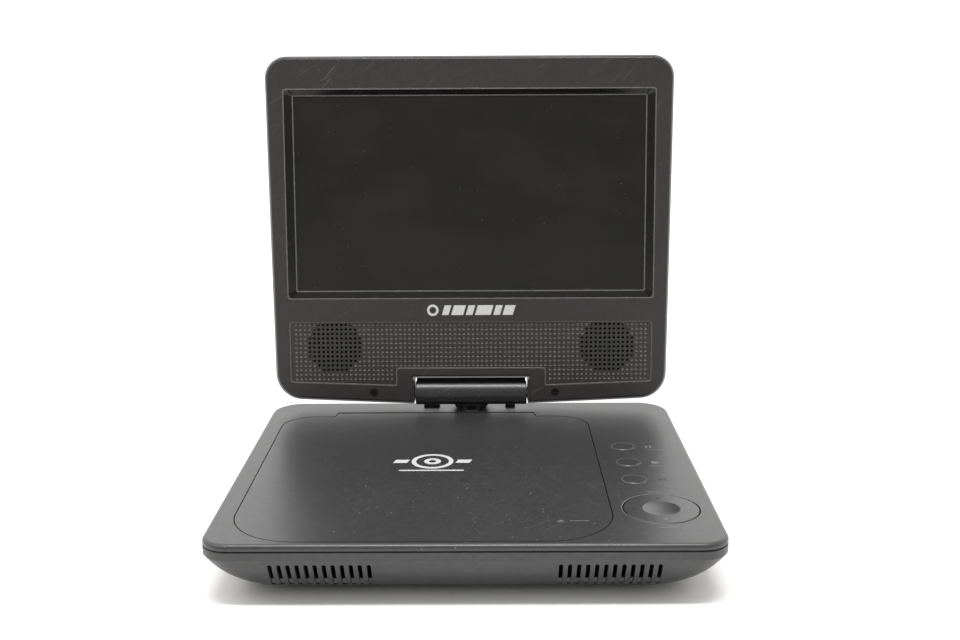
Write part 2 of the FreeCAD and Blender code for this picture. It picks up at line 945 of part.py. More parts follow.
on_base("disc_hub", fuse("hub", hub_shaft, hub_plate, hub_post, hub_lead))
sled_x = "(sled_rest - spindle_left)"
sled_low = "(%s - 2.6)" % rod_z
sled_block = box(
    "sled_block",
    sled_x + " - sled_length / 2",
    sy + " - rod_spread - 3.2",
    sled_low,
    "sled_length",
    "2 * rod_spread + 6.4",
    "5.4",
)
sled_bores = [
    rod(
        "sled_bore_%d" % i,
        "X",
        "rod_radius + running_clearance",
        "sled_length + 2",
        sled_x + " - sled_length / 2 - 1",
        "%s + %s" % (sy, y),
        rod_z,
    )
    for i, y in enumerate(("rod_spread", "-rod_spread"))
]
sled_nest = rod("sled_nest", "Z", "lens_radius + 1.2", "4", sled_x, sy, sled_low + " + 3.2")
on_base("pickup_sled", cut("sled", sled_block, *sled_bores, sled_nest))
lens_ring = rod("lens_ring", "Z", "lens_radius + 0.9", "2.4", sled_x, sy, sled_low + " + 3.2")
lens_bulge = taper(
    "lens_bulge", "Z", "lens_radius", "lens_radius - 0.9", "0.5", sled_x, sy, sled_low + " + 5.6"
)
on_base("objective_lens", fuse("lens", lens_ring, lens_bulge))
lead = rod("lead_rod", "X", "rod_radius", "%s - %s" % (rod_to, rod_from), rod_from, screw_y, rod_z)
worm = rod(
    "lead_worm", "X", "rod_radius + 0.5", "%s - %s - 6.0" % (rod_to, rod_from), rod_from + " + 3.0",
    screw_y, rod_z
)
on_base("lead_screw", fuse("lead_screw_done", lead, worm))

# ---- boards, battery and key switches ----
board_low = "(%s + 2.2)" % floor_top
standoffs = [
    rod("standoff_%d" % i, "Z", "2.2", "2.2", x, y, floor_top)
    for i, (x, y) in enumerate(
        (x, y)
        for x in ("-(door_left - 26)", "door_right - 16")
        for y in ("-(base_front - 25.5)", "-(base_front - 38)")
    )
]
on_base("board_standoffs", group("standoffs", *standoffs))
board = box(
    "board_sheet", "-(door_left - 21)", "-(base_front - 22)", board_low,
    "door_left + door_right - 32", "20", "1.6"
)
on_base("main_board", group("main_board_sheet", board))
chips = []
for i in range(4):
    chips.append(
        box(
            "chip_%d" % i, "-(door_left - 27) + %d" % (24 * i), "-(base_front - 25)",
            board_low + " + 1.6", "14 - %d" % (2 * i), "14 - %d" % (2 * i), "1.4"
        )
    )
caps = [
    rod(
        "capacitor_%d" % i, "Z", "2.0", "4.4", "-(door_left - 45) + %d" % (24 * i),
        "-(base_front - 28)", board_low + " + 1.6"
    )
    for i in range(3)
]
on_base("board_components", group("components", *chips, *caps))
cells = []
for i in range(2):
    x = "cell_first + %d * (2 * cell_radius + 0.4)" % i
    can = rod(
        "cell_can_%d" % i, "Y", "cell_radius", "cell_length - 1.5", x, "-cell_front",
        floor_top + " + cell_radius + 0.2"
    )
    tip = rod(
        "cell_tip_%d" % i, "Y", "2.6", "2.0", x, "-cell_front + cell_length - 2.0",
        floor_top + " + cell_radius + 0.2"
    )
    cells.append(fuse("cell_%d" % i, can, tip))
on_base("battery_cells", group("cells", *cells))
cradle_block = box(
    "cradle_block", "cell_first - cell_radius - 0.6", "-cell_front + 4", floor_top,
    "cell_radius * 2.8", "cell_length - 10", "cell_radius * 0.7"
)
cradle_cuts = [
    rod(
        "cradle_cut_%d" % i, "Y", "cell_radius + 0.1", "cell_length",
        "cell_first + %d * (2 * cell_radius + 0.4)" % i, "-cell_front",
        floor_top + " + cell_radius + 0.3"
    )
    for i in range(2)
]
on_base("battery_cradle", cut("cradle", cradle_block, *cradle_cuts))
key_board_top = "(%s - 4.7)" % case_top
key_board_low = "(%s - key_board_thickness)" % key_board_top
key_sheet = box(
    "key_sheet", "key_across - 7", "-(nav_back + 12.5)", key_board_low, "22",
    "nav_back + 12.5 - key_first + 3.5", "key_board_thickness"
)
on_base("key_board", group("key_board_sheet", key_sheet))
switches = []
for i, (x, y) in enumerate(key_sites):
    switches.append(box("switch_%d" % i, x + " - 2.8", y + " - 2.8", key_board_top, "5.6", "5.6", "switch_height"))
for i, (dx, dy) in enumerate((("7.1", "0"), ("-8.6", "0"), ("0", "8.6"), ("0", "-8.6"))):
    switches.append(
        box(
            "nav_switch_%d" % i, "nav_across + %s - 1.8" % dx, "-nav_back + %s - 1.8" % dy,
            key_board_top, "3.6", "3.6", "1.2"
        )
    )
on_base("tact_switches", group("switches", *switches))
key_posts = [
    box("key_post_%d" % i, x, y, z, across, deep, "%s - (%s)" % (key_board_low, z))
    for i, (x, y, z, across, deep) in enumerate(
        (
            ("key_across - 6.6", "-(nav_back + 8)", "foot_height + 3", "2.4", "4"),
            ("key_across - 6.6", "-(key_first + 7)", floor_top, "2.4", "4"),
        )
    )
]
on_base("key_board_posts", group("key_posts", *key_posts))

# ---- keys and their rings ----
rings = []
for i, (x, y) in enumerate(key_sites):
    sleeve = rod("ring_sleeve_%d" % i, "Z", "key_ring - 0.05", "cover_depth + 0.1", x, y, case_top)
    flange = rod("ring_flange_%d" % i, "Z", "key_ring + 0.9", "0.5", x, y, case_top + " - 0.5")
    hole = rod("ring_hole_%d" % i, "Z", "key_cap + 0.15", "8", x, y, case_top + " - 3")
    rings.append(cut("ring_%d" % i, fuse("ring_body_%d" % i, sleeve, flange), hole))
on_base("key_rings", group("rings", *rings))
for i, (x, y) in enumerate(key_sites):
    cap_body = rod(
        "cap_body_%d" % i, "Z", "key_cap", "cover_depth + key_proud + 0.8 - 0.3", x, y,
        case_top + " - 0.8"
    )
    cap_edge = taper(
        "cap_edge_%d" % i, "Z", "key_cap", "key_cap - 0.3", "0.3", x, y, top + " + key_proud - 0.3"
    )
    cap_skirt = rod("cap_skirt_%d" % i, "Z", "key_cap + 0.5", "0.6", x, y, case_top + " - 1.3")
    on_base("key_%d" % (i + 1), fuse("key_cap_%d" % i, cap_body, cap_edge, cap_skirt))

# ---- navigation pad: a dished cap over a rocking gimbal ----
nx = "nav_across"
ny = "-nav_back"
nav_low = "(%s - nav_drop)" % top
nav = body_named("Nav")
cap_circle = sketch_on(nav, "nav_outline", "XY_Plane", nav_low)
circle(cap_circle, nx, ny, "nav_radius")
pad(nav, cap_circle, "nav_pad_body", "nav_drop + 0.1")
round_edges(nav, "nav_round", "Fillet", "0.5", lambda e: e.BoundBox.ZMin > number(top) + 0.05)
bowl = doc.addObject("Part::Sphere", "nav_bowl")
bowl_radius = "((nav_dish * nav_dish + nav_dish_depth * nav_dish_depth) / (2 * nav_dish_depth))"
bind(bowl, "Radius", bowl_radius)
place(bowl, nx, ny, "%s + 0.1 - nav_dish_depth + %s" % (top, bowl_radius))
gimbal_z = "(%s + 2.4)" % key_board_top
socket_pin = rod("nav_pin_bore", "Y", "0.7 + running_clearance", "9", nx, ny + " - 4.5", gimbal_z)
nav_foot = cut(
    "nav_foot",
    box(
        "nav_foot_block", nx + " - 2.6", ny + " - 4.0", gimbal_z + " - 1.0", "5.2", "8.0",
        "%s - %s + 1.2" % (nav_low, gimbal_z)
    ),
    box(
        "nav_foot_gap", nx + " - 3.0", ny + " - 2.5", gimbal_z + " - 1.5", "6.0", "5.0",
        "%s - %s + 1.5" % (nav_low, gimbal_z)
    ),
    socket_pin,
)
on_base("nav_pad", cut("nav_done", fuse("nav_parts", nav, nav_foot), bowl))
gimbal_ball = box("gimbal_core", nx + " - 1.6", ny + " - 2.0", gimbal_z + " - 0.95", "3.2", "4.0", "1.9")
gimbal_y = rod("gimbal_pin_y", "Y", "0.7", "7.6", nx, ny + " - 3.8", gimbal_z)
gimbal_x = rod("gimbal_pin_x", "X", "0.7", "9.6", nx + " - 4.8", ny, gimbal_z)
on_base("nav_gimbal", fuse("gimbal", gimbal_ball, gimbal_y, gimbal_x))
yokes = []
for i, x in enumerate((nx + " - 4.9", nx + " + 3.2")):
    post = box(
        "yoke_post_%d" % i, x, ny + " - 1.6", key_board_top, "1.7", "3.2",
        "%s - %s + 1.15" % (gimbal_z, key_board_top)
    )
    bore = rod("yoke_bore_%d" % i, "X", "0.7 + running_clearance", "3", x + " - 0.5", ny, gimbal_z)
    yokes.append(cut("yoke_%d" % i, post, bore))
on_base("nav_yokes", group("yokes", *yokes))

# ---- side panel with the sockets, volume wheel and power switch ----
panel_in = "((base_width / 2 - panel_inset) - panel_plate)"
headphone_sites = ["-(panel_front - 5)", "-(panel_front - 13.5)"]
av_site = "-(panel_front - 22)"
wheel_site = "-(panel_front - 31.5)"
slider_site = "-(panel_front - 42.3)"
dc_site = "-(panel_rear + 5)"
panel_sheet = box(
    "panel_sheet", panel_in, "-panel_front", "panel_low", "panel_plate", "panel_front - panel_rear",
    case_top + " - panel_low"
)
panel_holes = [
    rod("panel_hole_%d" % i, "X", "3.1", "panel_plate + 2", panel_in + " - 1", y, "socket_height")
    for i, y in enumerate(headphone_sites + [av_site])
]
panel_holes.append(rod("panel_dc", "X", "3.4", "panel_plate + 2", panel_in + " - 1", dc_site, "socket_height"))
panel_holes.append(
    box(
        "panel_wheel_slot", panel_in + " - 1", wheel_site + " - wheel_radius * 0.95",
        "socket_height - wheel_thickness / 2 - 0.3", "panel_plate + 2", "wheel_radius * 1.9",
        "wheel_thickness + 0.6"
    )
)
panel_holes.append(
    box(
        "panel_slider_slot", panel_in + " - 1",
        slider_site + " - slider_length / 2 - slider_travel - 0.3", "socket_height - 1.3",
        "panel_plate + 2", "slider_length + 2 * slider_travel + 0.6", "2.6"
    )
)
on_base("socket_panel", cut("panel", panel_sheet, *panel_holes))


def socket(name, y, bore, side, nose, pin=None):
    """A socket body behind the panel with its nose in the panel's hole and a blind bore."""
    shell = box(
        name + "_block", panel_in + " - socket_depth", y + " - %s / 2" % side,
        "socket_height - 2.7", "socket_depth", side, "5.3"
    )
    collar = rod(name + "_nose", "X", nose, "panel_plate + 0.2", panel_in + " - 0.2", y, "socket_height")
    mouth = rod(
        name + "_bore", "X", bore + " / 2", "socket_depth + panel_plate",
        panel_in + " - socket_depth + 1.2", y, "socket_height"
    )
    made = cut(name, fuse(name + "_body", shell, collar), mouth)
    if pin:
        centre = rod(
            name + "_pin", "X", pin + " / 2", "socket_depth + panel_plate - 3.4",
            panel_in + " - socket_depth + 1.0", y, "socket_height"
        )
        made = fuse(name + "_with_pin", made, centre)
    return made


on_base(
    "headphone_jacks",
    group("headphones", *[socket("headphone_%d" % i, y, "jack_bore", "7.4", "3.05") for i, y in enumerate(headphone_sites)])
)
on_base("av_jack", group("av_socket", socket("av", av_site, "jack_bore", "7.4", "3.05")))
on_base("dc_jack", group("dc_socket", socket("dc", dc_site, "dc_bore", "8.4", "3.35", "dc_pin")))
wheel_x = "((base_width / 2 - panel_inset) + 1.2 - wheel_radius)"
wheel_low = "(socket_height - wheel_thickness / 2)"
wheel_disc = rod("wheel_disc", "Z", "wheel_radius", "wheel_thickness", wheel_x, wheel_site, wheel_low)
wheel_bore = rod("wheel_bore", "Z", "1.0 + running_clearance", "9", wheel_x, wheel_site, wheel_low + " - 3")
flutes = []
for i in range(20):
    turn = "%d * 18 deg" % i
    flutes.append(
        rod(
            "flute_%d" % i, "Z", "0.35", "wheel_thickness + 1",
            "%s + wheel_radius * cos(%s)" % (wheel_x, turn),
            "%s + wheel_radius * sin(%s)" % (wheel_site, turn), wheel_low + " - 0.5"
        )
    )
on_base("volume_wheel", cut("wheel", wheel_disc, wheel_bore, *flutes))
pot_block = box(
    "pot_block", wheel_x + " - 5.4", wheel_site + " - 4", "panel_low",
    "%s - %s + 5.4" % (panel_in, wheel_x), "8", "%s - panel_low - 0.1" % wheel_low
)
pot_shaft = rod("pot_shaft", "Z", "1.0", "wheel_thickness + 0.3", wheel_x, wheel_site, wheel_low + " - 0.3")
on_base("volume_control", fuse("pot", pot_block, pot_shaft))
switch_block = box(
    "power_block", panel_in + " - 6", slider_site + " - 3.9", "socket_height - 2.4", "6.0", "7.8",
    "4.8"
)
on_base("power_switch_body", group("power_block_only", switch_block))
knob = box(
    "knob", panel_in + " + 0.1", slider_site + " - slider_length / 2", "socket_height - 1.0",
    "panel_plate + 1.4", "slider_length", "2.0"
)
ribs = [
    box(
        "knob_rib_%d" % i, "(base_width / 2 - panel_inset) + 0.9",
        "%s - slider_length / 2 + %.1f" % (slider_site, 0.7 + 1.1 * i), "socket_height - 1.5",
        "0.8", "0.5", "3.0"
    )
    for i in range(4)
]
on_base("power_slider", cut("slider", knob, *ribs))

# ---- swivel: pads, post, washer, neck and barrel ----
pads = [
    box("glide_left", "-21.2", "2.4", top, "7.2", "4.6", "1.4"),
    box("glide_right", "16.3", "2.4", top, "4.4", "4.6", "1.4"),
]
on_base("swivel_glide_pads", group("glides", *pads))
axis_z = "(%s + axis_rise)" % top
neck_low = "(%s + neck_lift)" % top
neck_body = body_named("Neck")
neck_face = sketch_on(neck_body, "neck_face", "XZ_Plane", "-neck_depth / 2 - neck_back")
outline(
    neck_face,
    [
        ("-neck_foot / 2", neck_low, "0.3"),
        ("neck_foot / 2", neck_low, "0.3"),
        ("neck_top / 2", "%s + 3.2" % top, "0.3"),
        ("neck_top / 2 + 0.01", axis_z, "0.3"),
        ("-neck_top / 2 - 0.01", axis_z, "0.3"),
        ("-neck_top / 2", "%s + 3.2" % top, "0.3"),
    ],
)
pad(neck_body, neck_face, "neck_pad", "neck_depth")
barrel = rod("barrel", "X", "barrel_radius", "barrel_length", "-barrel_length / 2", "0", axis_z)
pin_bores = [
    rod("barrel_bore_left", "X", "pin_radius + 0.02", "16", "-barrel_length / 2 - 1", "0", axis_z),
    rod("barrel_bore_right", "X", "pin_radius + 0.02", "16", "barrel_length / 2 - 15", "0", axis_z),
]
crest = box(
    "barrel_crest",
    "-(barrel_length / 2 - 0.6)",
    "0.6",
    axis_z,
    "barrel_length - 1.2",
    "1.8",
    "crest_rise",
)
on_swivel(
    "hinge_barrel",
    cut("barrel_done", fuse("barrel_neck", neck_body, barrel, crest), *pin_bores),
)
post_tube = rod(
    "post_tube", "Z", "swivel_radius - running_clearance", "cover_depth + neck_lift + 2.0", "0",
    "0", case_top + " - 2.0"
)
post_bore = rod("post_bore", "Z", "swivel_radius * 0.5", "20", "0", "0", case_top + " - 8")
on_swivel("swivel_post", cut("post", post_tube, post_bore))
washer_disc = rod("washer_disc", "Z", "swivel_washer", "1.2", "0", "0", case_top + " - 1.4")
washer_hole = rod("washer_hole", "Z", "swivel_radius - running_clearance", "5", "0", "0", case_top + " - 4")
on_swivel("swivel_washer", cut("washer", washer_disc, washer_hole))
tilt_pins = []
for i, sign in enumerate((-1, 1)):
    start = "-pin_reach" if sign < 0 else "barrel_length / 2 - 12"
    shaft = rod(
        "tilt_shaft_%d" % i, "X", "pin_radius", "pin_reach - barrel_length / 2 + 12", start, "0",
        axis_z
    )
    start = "-barrel_length / 2 - 0.4" if sign < 0 else "barrel_length / 2"
    collar = rod("tilt_collar_%d" % i, "X", "pin_collar", "0.4", start, "0", axis_z)
    tilt_pins.append(fuse("tilt_pin_%d" % i, shaft, collar))
on_swivel("tilt_pins", group("tilt_pins_pair", *tilt_pins))


# ---- lid: back cover, bezel, glass, module, grille, speakers ----
def lid_outline(draw_in, notched):
    """The lid's outline drawn in by a wall, with or without the barrel notch."""
    lower = [
        ("(barrel_length / 2 + notch_gap) + %s" % draw_in, "lid_mid_low + %s" % draw_in, "0.6"),
        ("(barrel_length / 2 + notch_gap) + %s" % draw_in, "notch_top + %s" % draw_in, "0.8"),
        ("-((barrel_length / 2 + notch_gap) + %s)" % draw_in, "notch_top + %s" % draw_in, "0.8"),
        ("-((barrel_length / 2 + notch_gap) + %s)" % draw_in, "lid_mid_low + %s" % draw_in, "0.6"),
    ]
    if not notched:
        lower = [
            ("(barrel_length / 2 + notch_gap)", "lid_mid_low + %s" % draw_in, "20"),
            ("-(barrel_length / 2 + notch_gap)", "lid_mid_low + %s" % draw_in, "20"),
        ]
    return (
        [
            ("-(lid_width / 2 - %s)" % draw_in, "lid_top - %s" % draw_in, "lid_corner - %s" % draw_in),
            ("lid_width / 2 - %s" % draw_in, "lid_top - %s" % draw_in, "lid_corner - %s" % draw_in),
            (
                "lid_foot_width / 2 - %s" % draw_in, "lid_side_low + %s" % draw_in,
                "lid_foot_corner - %s" % draw_in
            ),
        ]
        + lower
        + [
            (
                "-(lid_foot_width / 2 - %s)" % draw_in, "lid_side_low + %s" % draw_in,
                "lid_foot_corner - %s" % draw_in
            )
        ]
    )


shell = body_named("Shell")
shell_face = sketch_on(shell, "shell_outline", "XZ_Plane", "-lid_half")
outline(shell_face, lid_outline("0", False))
pad(shell, shell_face, "shell_pad", "2 * lid_half - rim_drop")
round_edges(
    shell, "shell_round", "Fillet", "lid_round", lambda e: e.BoundBox.YMin > number("lid_half") - 0.01
)
notch_face = sketch_on(shell, "shell_notch", "XZ_Plane", "lid_half + 1")
outline(
    notch_face,
    rectangle(
        "-(barrel_length / 2 + notch_gap)", "(barrel_length / 2 + notch_gap)", "lid_mid_low - 12",
        "notch_top", "0.8", "0.8"
    ),
)
pocket(shell, notch_face, "notch_pocket", "2 * lid_half + 2")
hollow_face = sketch_on(shell, "shell_hollow", "XZ_Plane", "lid_half - rim_drop")
outline(hollow_face, lid_outline("lid_wall", True))
pocket(shell, hollow_face, "hollow_pocket", "2 * lid_half - rim_drop - lid_wall")
rebate_face = sketch_on(shell, "shell_rebate", "XZ_Plane", "lid_half - rim_drop")
outline(rebate_face, lid_outline("(bezel_inset - 0.1)", True))
pocket(shell, rebate_face, "rebate_pocket", "bezel_plate - rim_drop")
screw_sites = ("-bezel_screw_left", "bezel_screw_right + 0")
shell_bosses = []
for i, x in enumerate(screw_sites):
    shell_bosses.append(
        rod(
            "shell_boss_%d" % i,
            "Y",
            "2.4",
            "lid_half + lid_half - bezel_plate - lid_wall * 0.5",
            x,
            "-(lid_half - bezel_plate)",
            "bezel_screw_up + 0.8",
        )
    )
boss_bores = [
    rod("shell_boss_bore_%d" % i, "Y", "1.1", "9", x, "-(lid_half - bezel_plate) - 1", "bezel_screw_up")
    for i, x in enumerate(screw_sites)
]
pin_troughs = [
    rod(
        "pin_trough_%d" % i, "X", "pin_radius + 0.8",
        "pin_reach - (barrel_length / 2 + notch_gap) + 2.8", x, "0", "0"
    )
    for i, x in enumerate(("-(pin_reach + 1.8)", "(barrel_length / 2 + notch_gap) - 1"))
]
on_lid(
    "screen_back_cover",
    cut("shell_done", fuse("shell_bossed", shell, *shell_bosses), *boss_bores, *pin_troughs),
)


def grille_outline(grow):
    """The speaker grille's outline, grown on every side."""
    return [
        ("-(grille_half + %s)" % grow, "grille_top + %s" % grow, "1.5"),
        ("grille_half + %s" % grow, "grille_top + %s" % grow, "1.5"),
        ("grille_half + %s" % grow, "grille_side_low - %s" % grow, "1.5"),
        ("grille_notch - %s" % grow, "grille_mid_low - %s" % grow, "1.0"),
        ("grille_notch - %s" % grow, "grille_notch_top - %s" % grow, "1.0"),
        ("-(grille_notch - %s)" % grow, "grille_notch_top - %s" % grow, "1.0"),
        ("-(grille_notch - %s)" % grow, "grille_mid_low - %s" % grow, "1.0"),
        ("-(grille_half + %s)" % grow, "grille_side_low - %s" % grow, "1.5"),
    ]


bezel = body_named("Bezel")
bezel_back = "(lid_half - bezel_plate)"
bezel_face = sketch_on(bezel, "bezel_outline", "XZ_Plane", bezel_back)
outline(bezel_face, lid_outline("bezel_inset", True))
pad(bezel, bezel_face, "bezel_pad", "bezel_plate")
round_edges(
    bezel, "bezel_edge", "Fillet", "bezel_round", lambda e: e.BoundBox.YMax < -number("lid_half") + 0.01
)
recess_wide = sketch_on(bezel, "recess_mouth", "XZ_Plane", "lid_half")
outline(
    recess_wide,
    rectangle(
        "-(window_half + recess_margin)",
        "window_half + recess_margin",
        "window_low - recess_foot_margin",
        "window_high + recess_head_margin",
        "2.8",
        "2.8",
    ),
)
recess_tight = sketch_on(bezel, "recess_throat", "XZ_Plane", "lid_half - recess_depth")
outline(
    recess_tight,
    rectangle("-window_half", "window_half", "window_low", "window_high", "0.6", "0.6"),
)
doc.recompute()
before_recess = bezel.Shape.Volume
recess = bezel.newObject("PartDesign::SubtractiveLoft", "recess_bevel")
recess.Profile = recess_wide
recess.Sections = [recess_tight]
recess.Ruled = True
doc.recompute()
if bezel.Shape.Volume > before_recess - 1000:
    raise RuntimeError("the recess takes nothing away")
throat = sketch_on(bezel, "window_throat", "XZ_Plane", "lid_half - recess_depth")
outline(throat, rectangle("-window_half", "window_half", "window_low", "window_high", "0.6", "0.6"))
pocket(bezel, throat, "window_opening", "bezel_plate - recess_depth")
grille_mouth = sketch_on(bezel, "grille_mouth", "XZ_Plane", "lid_half")
outline(grille_mouth, grille_outline("0"))
pocket(bezel, grille_mouth, "grille_opening", "bezel_plate")
grille_rebate = sketch_on(bezel, "grille_rebate", "XZ_Plane", "lid_half - grille_recess")
outline(grille_rebate, grille_outline("(grille_overlap + 0.1)"))
pocket(bezel, grille_rebate, "grille_seat", "bezel_plate - grille_recess")
screw_seats = sketch_on(bezel, "bezel_screw_seats", "XZ_Plane", "lid_half")
for x in screw_sites:
    circle(screw_seats, x, "bezel_screw_up", "screw_head + 0.1")
pocket(bezel, screw_seats, "seat_pocket", "1.3")
screw_holes = sketch_on(bezel, "bezel_screw_holes", "XZ_Plane", "lid_half")
for x in screw_sites:
    circle(screw_holes, x, "bezel_screw_up", "1.15")
pocket(bezel, screw_holes, "hole_pocket", "bezel_plate")
on_lid("screen_bezel", bezel)
bezel_screws = []
for i, x in enumerate(screw_sites):
    head = rod(
        "bezel_screw_head_%d" % i, "Y", "screw_head", "0.9", x, "-(lid_half - 0.4)",
        "bezel_screw_up"
    )
    shank = rod("bezel_screw_shank_%d" % i, "Y", "1.0", "6.5", x, "-(lid_half - 0.6)", "bezel_screw_up")
    across = box(
        "bezel_screw_slot_%d" % i, x + " - 1.1", "-(lid_half - 0.2)", "bezel_screw_up - 0.25",
        "2.2", "0.8", "0.5"
    )
    along = box(
        "bezel_screw_cross_%d" % i, x + " - 0.25", "-(lid_half - 0.2)", "bezel_screw_up - 1.1",
        "0.5", "0.8", "2.2"
    )
    bezel_screws.append(cut("bezel_screw_%d" % i, fuse("bezel_screw_body_%d" % i, head, shank), across, along))
on_lid("bezel_screws", group("bezel_screw_pair", *bezel_screws))

grille = body_named("Grille")
grille_face = sketch_on(grille, "grille_plate", "XZ_Plane", bezel_back)
outline(grille_face, grille_outline("grille_overlap"))
pad(grille, grille_face, "grille_pad", "bezel_plate - grille_recess")
doc.recompute()
drills = []
reach = number("hole_field")
pitch = number("hole_pitch")
centre_x = number("speaker_across")
centre_z = number("speaker_up")
first_x = pitch / 2
steps_low = int((centre_x - reach - first_x) / pitch)
steps_high = int((centre_x + reach - first_x) / pitch) + 1
first_z = number("grille_top") - 1.5
for i in range(steps_low, steps_high + 1):
    for j in range(int((first_z - centre_z + reach) / pitch) + 1):
        x = first_x + i * pitch
        z = first_z - j * pitch
        if math.hypot(x - centre_x, z - centre_z) < reach:
            for side in (-1, 1):
                hole = Part.makeCylinder(
                    number("hole_radius"), number("bezel_plate") + 2, Vector(side * x, -number("lid_half"), z), Vector(0, 1, 0)
                )
                drills.append(hole)
hole_field = doc.addObject("Part::Feature", "HoleField")
hole_field.Shape = Part.makeCompound(drills)
grille_cut = doc.addObject("Part::Cut", "grille_done")
grille_cut.Base = grille
grille_cut.Tool = hole_field
on_lid("speaker_grille", grille_cut)

glass = box(
    "glass_sheet",
    "-(window_half + glass_margin)",
    "-" + bezel_back,
    "window_low - glass_margin",
    "2 * (window_half + glass_margin)",
    "glass_thickness",
    "window_high - window_low + 2 * glass_margin",
)
on_lid("display_glass", group("display_glass_sheet", glass))
module_front = "(-%s + glass_thickness)" % bezel_back
module = box(
    "module_box",
    "-(window_half + glass_margin + 1)",
    module_front,
    "window_low - glass_margin - 1",
    "2 * (window_half + glass_margin + 1)",
    "module_thickness",
    "window_high - window_low + 2 * glass_margin + 2",
)
on_lid("lcd_module", group("lcd_module_box", module))
module_back = "(%s + module_thickness)" % module_front
driver = box("driver_sheet", "-62", module_back, "window_low + 14", "88", "1.2", "52")
on_lid("lcd_driver_board", group("driver_board_sheet", driver))
driver_chips = [
    box(
        "driver_chip_%d" % i, "-54 + %d" % (20 * i), module_back + " + 1.2", "window_low + 30",
        "12 - %d" % i, "1.0", "12 - %d" % i
    )
    for i in range(4)
]
on_lid("driver_components", group("driver_chips", *driver_chips))
stays = [
    box(
        "stay_%d" % i, sign, module_front, "window_high + glass_margin + 1.0", "8",
        "lid_half - lid_wall - %s" % module_front, "3.4"
    )
    for i, sign in enumerate(("-70", "62"))
]
on_lid("module_stays", group("stays", *stays))
speaker_front = "(-%s)" % bezel_back
frames = []
cones = []
magnets = []
for i, sign in enumerate(("-", "")):
    x = sign + "speaker_across"
    outer = rod("speaker_rim_%d" % i, "Y", "speaker_radius", "2.0", x, speaker_front, "speaker_up")
    basket = taper(
        "speaker_basket_%d" % i, "Y", "speaker_radius - 1", "8.6", "3.0", x,
        speaker_front + " + 2.0", "speaker_up"
    )
    mouth = rod(
        "speaker_mouth_%d" % i, "Y", "speaker_radius - 1.6", "1.3", x, speaker_front + " - 0.1",
        "speaker_up"
    )
    bowl_cut = taper(
        "speaker_bowl_%d" % i, "Y", "speaker_radius - 2.6", "6.6", "3.9", x,
        speaker_front + " + 1.2", "speaker_up"
    )
    frames.append(cut("speaker_frame_%d" % i, fuse("speaker_shell_%d" % i, outer, basket), mouth, bowl_cut))
    surround = rod(
        "surround_%d" % i, "Y", "speaker_radius - 1.7", "0.5", x, speaker_front + " + 0.7",
        "speaker_up"
    )
    cone_out = taper(
        "cone_out_%d" % i, "Y", "speaker_radius - 3.4", "5.0", "3.2", x, speaker_front + " + 1.0",
        "speaker_up"
    )
    cone_in = taper(
        "cone_in_%d" % i, "Y", "speaker_radius - 3.9", "4.4", "3.2", x, speaker_front + " + 0.6",
        "speaker_up"
    )
    cones.append(cut("speaker_cone_%d" % i, fuse("cone_shell_%d" % i, surround, cone_out), cone_in))
    magnets.append(rod("speaker_magnet_%d" % i, "Y", "8.2", "3.4", x, speaker_front + " + 5.0", "speaker_up"))
on_lid("speaker_frames", group("speaker_frame_pair", *frames))
on_lid("speaker_cones", group("speaker_cone_pair", *cones))
on_lid("speaker_magnets", group("speaker_magnet_pair", *magnets))
brackets = []
for i, sign in enumerate((-1, 1)):
    x = "-(pin_reach + 0.8)" if sign < 0 else "(barrel_length / 2 + notch_gap) + lid_wall + 0.1"
    block = box(
        "bracket_%d" % i, x, "-3.4", "-0.6",
        "pin_reach + 0.8 - (barrel_length / 2 + notch_gap) - lid_wall - 0.1",
        "lid_half - lid_wall + 3.4", "5.8"
    )
    ear = rod(
        "bracket_ear_%d" % i, "X", "pin_radius + 0.7",
        "pin_reach + 0.8 - (barrel_length / 2 + notch_gap) - lid_wall - 0.1", x, "0", "0"
    )
    bore = rod("bracket_bore_%d" % i, "X", "pin_radius + running_clearance", "20", x + " - 1", "0", "0")
    brackets.append(cut("tilt_bracket_%d" % i, fuse("bracket_body_%d" % i, block, ear), bore))
on_lid("tilt_brackets", group("tilt_bracket_pair", *brackets))

# ---- everything is recomputed, checked and written ----
doc.recompute()
for thing in doc.Objects:
    if "Invalid" in thing.State or "Error" in thing.State:
        raise RuntimeError("%s is %s" % (thing.Name, thing.State))
for piece in pieces:
    if piece.Shape.isNull() or not piece.Shape.isValid() or piece.Shape.Volume <= 0:
        raise RuntimeError("%s has no sound shape" % piece.Label)
os.makedirs("parts", exist_ok=True)
for piece in pieces:
    piece.Shape.exportStep("parts/%s.step" % piece.Label)
print("wrote", len(pieces), "sub-parts")
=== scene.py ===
import json
import math

import bmesh
import bpy
from mathutils import Matrix, Vector


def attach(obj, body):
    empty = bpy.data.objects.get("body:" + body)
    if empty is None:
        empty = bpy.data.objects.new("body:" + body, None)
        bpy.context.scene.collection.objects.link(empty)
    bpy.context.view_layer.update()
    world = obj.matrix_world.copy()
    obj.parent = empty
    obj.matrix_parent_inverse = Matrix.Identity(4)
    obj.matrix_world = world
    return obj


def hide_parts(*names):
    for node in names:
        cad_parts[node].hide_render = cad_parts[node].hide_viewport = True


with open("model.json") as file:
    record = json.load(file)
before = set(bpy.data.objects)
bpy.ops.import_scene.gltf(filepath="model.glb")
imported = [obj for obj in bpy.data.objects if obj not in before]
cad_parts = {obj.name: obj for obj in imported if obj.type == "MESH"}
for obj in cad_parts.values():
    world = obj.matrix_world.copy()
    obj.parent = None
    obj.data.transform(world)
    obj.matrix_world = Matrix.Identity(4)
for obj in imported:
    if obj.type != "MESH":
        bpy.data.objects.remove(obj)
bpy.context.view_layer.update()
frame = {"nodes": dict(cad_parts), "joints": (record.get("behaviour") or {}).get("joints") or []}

nodes = frame["nodes"]
joints = {j["name"]: j for j in frame["joints"]}
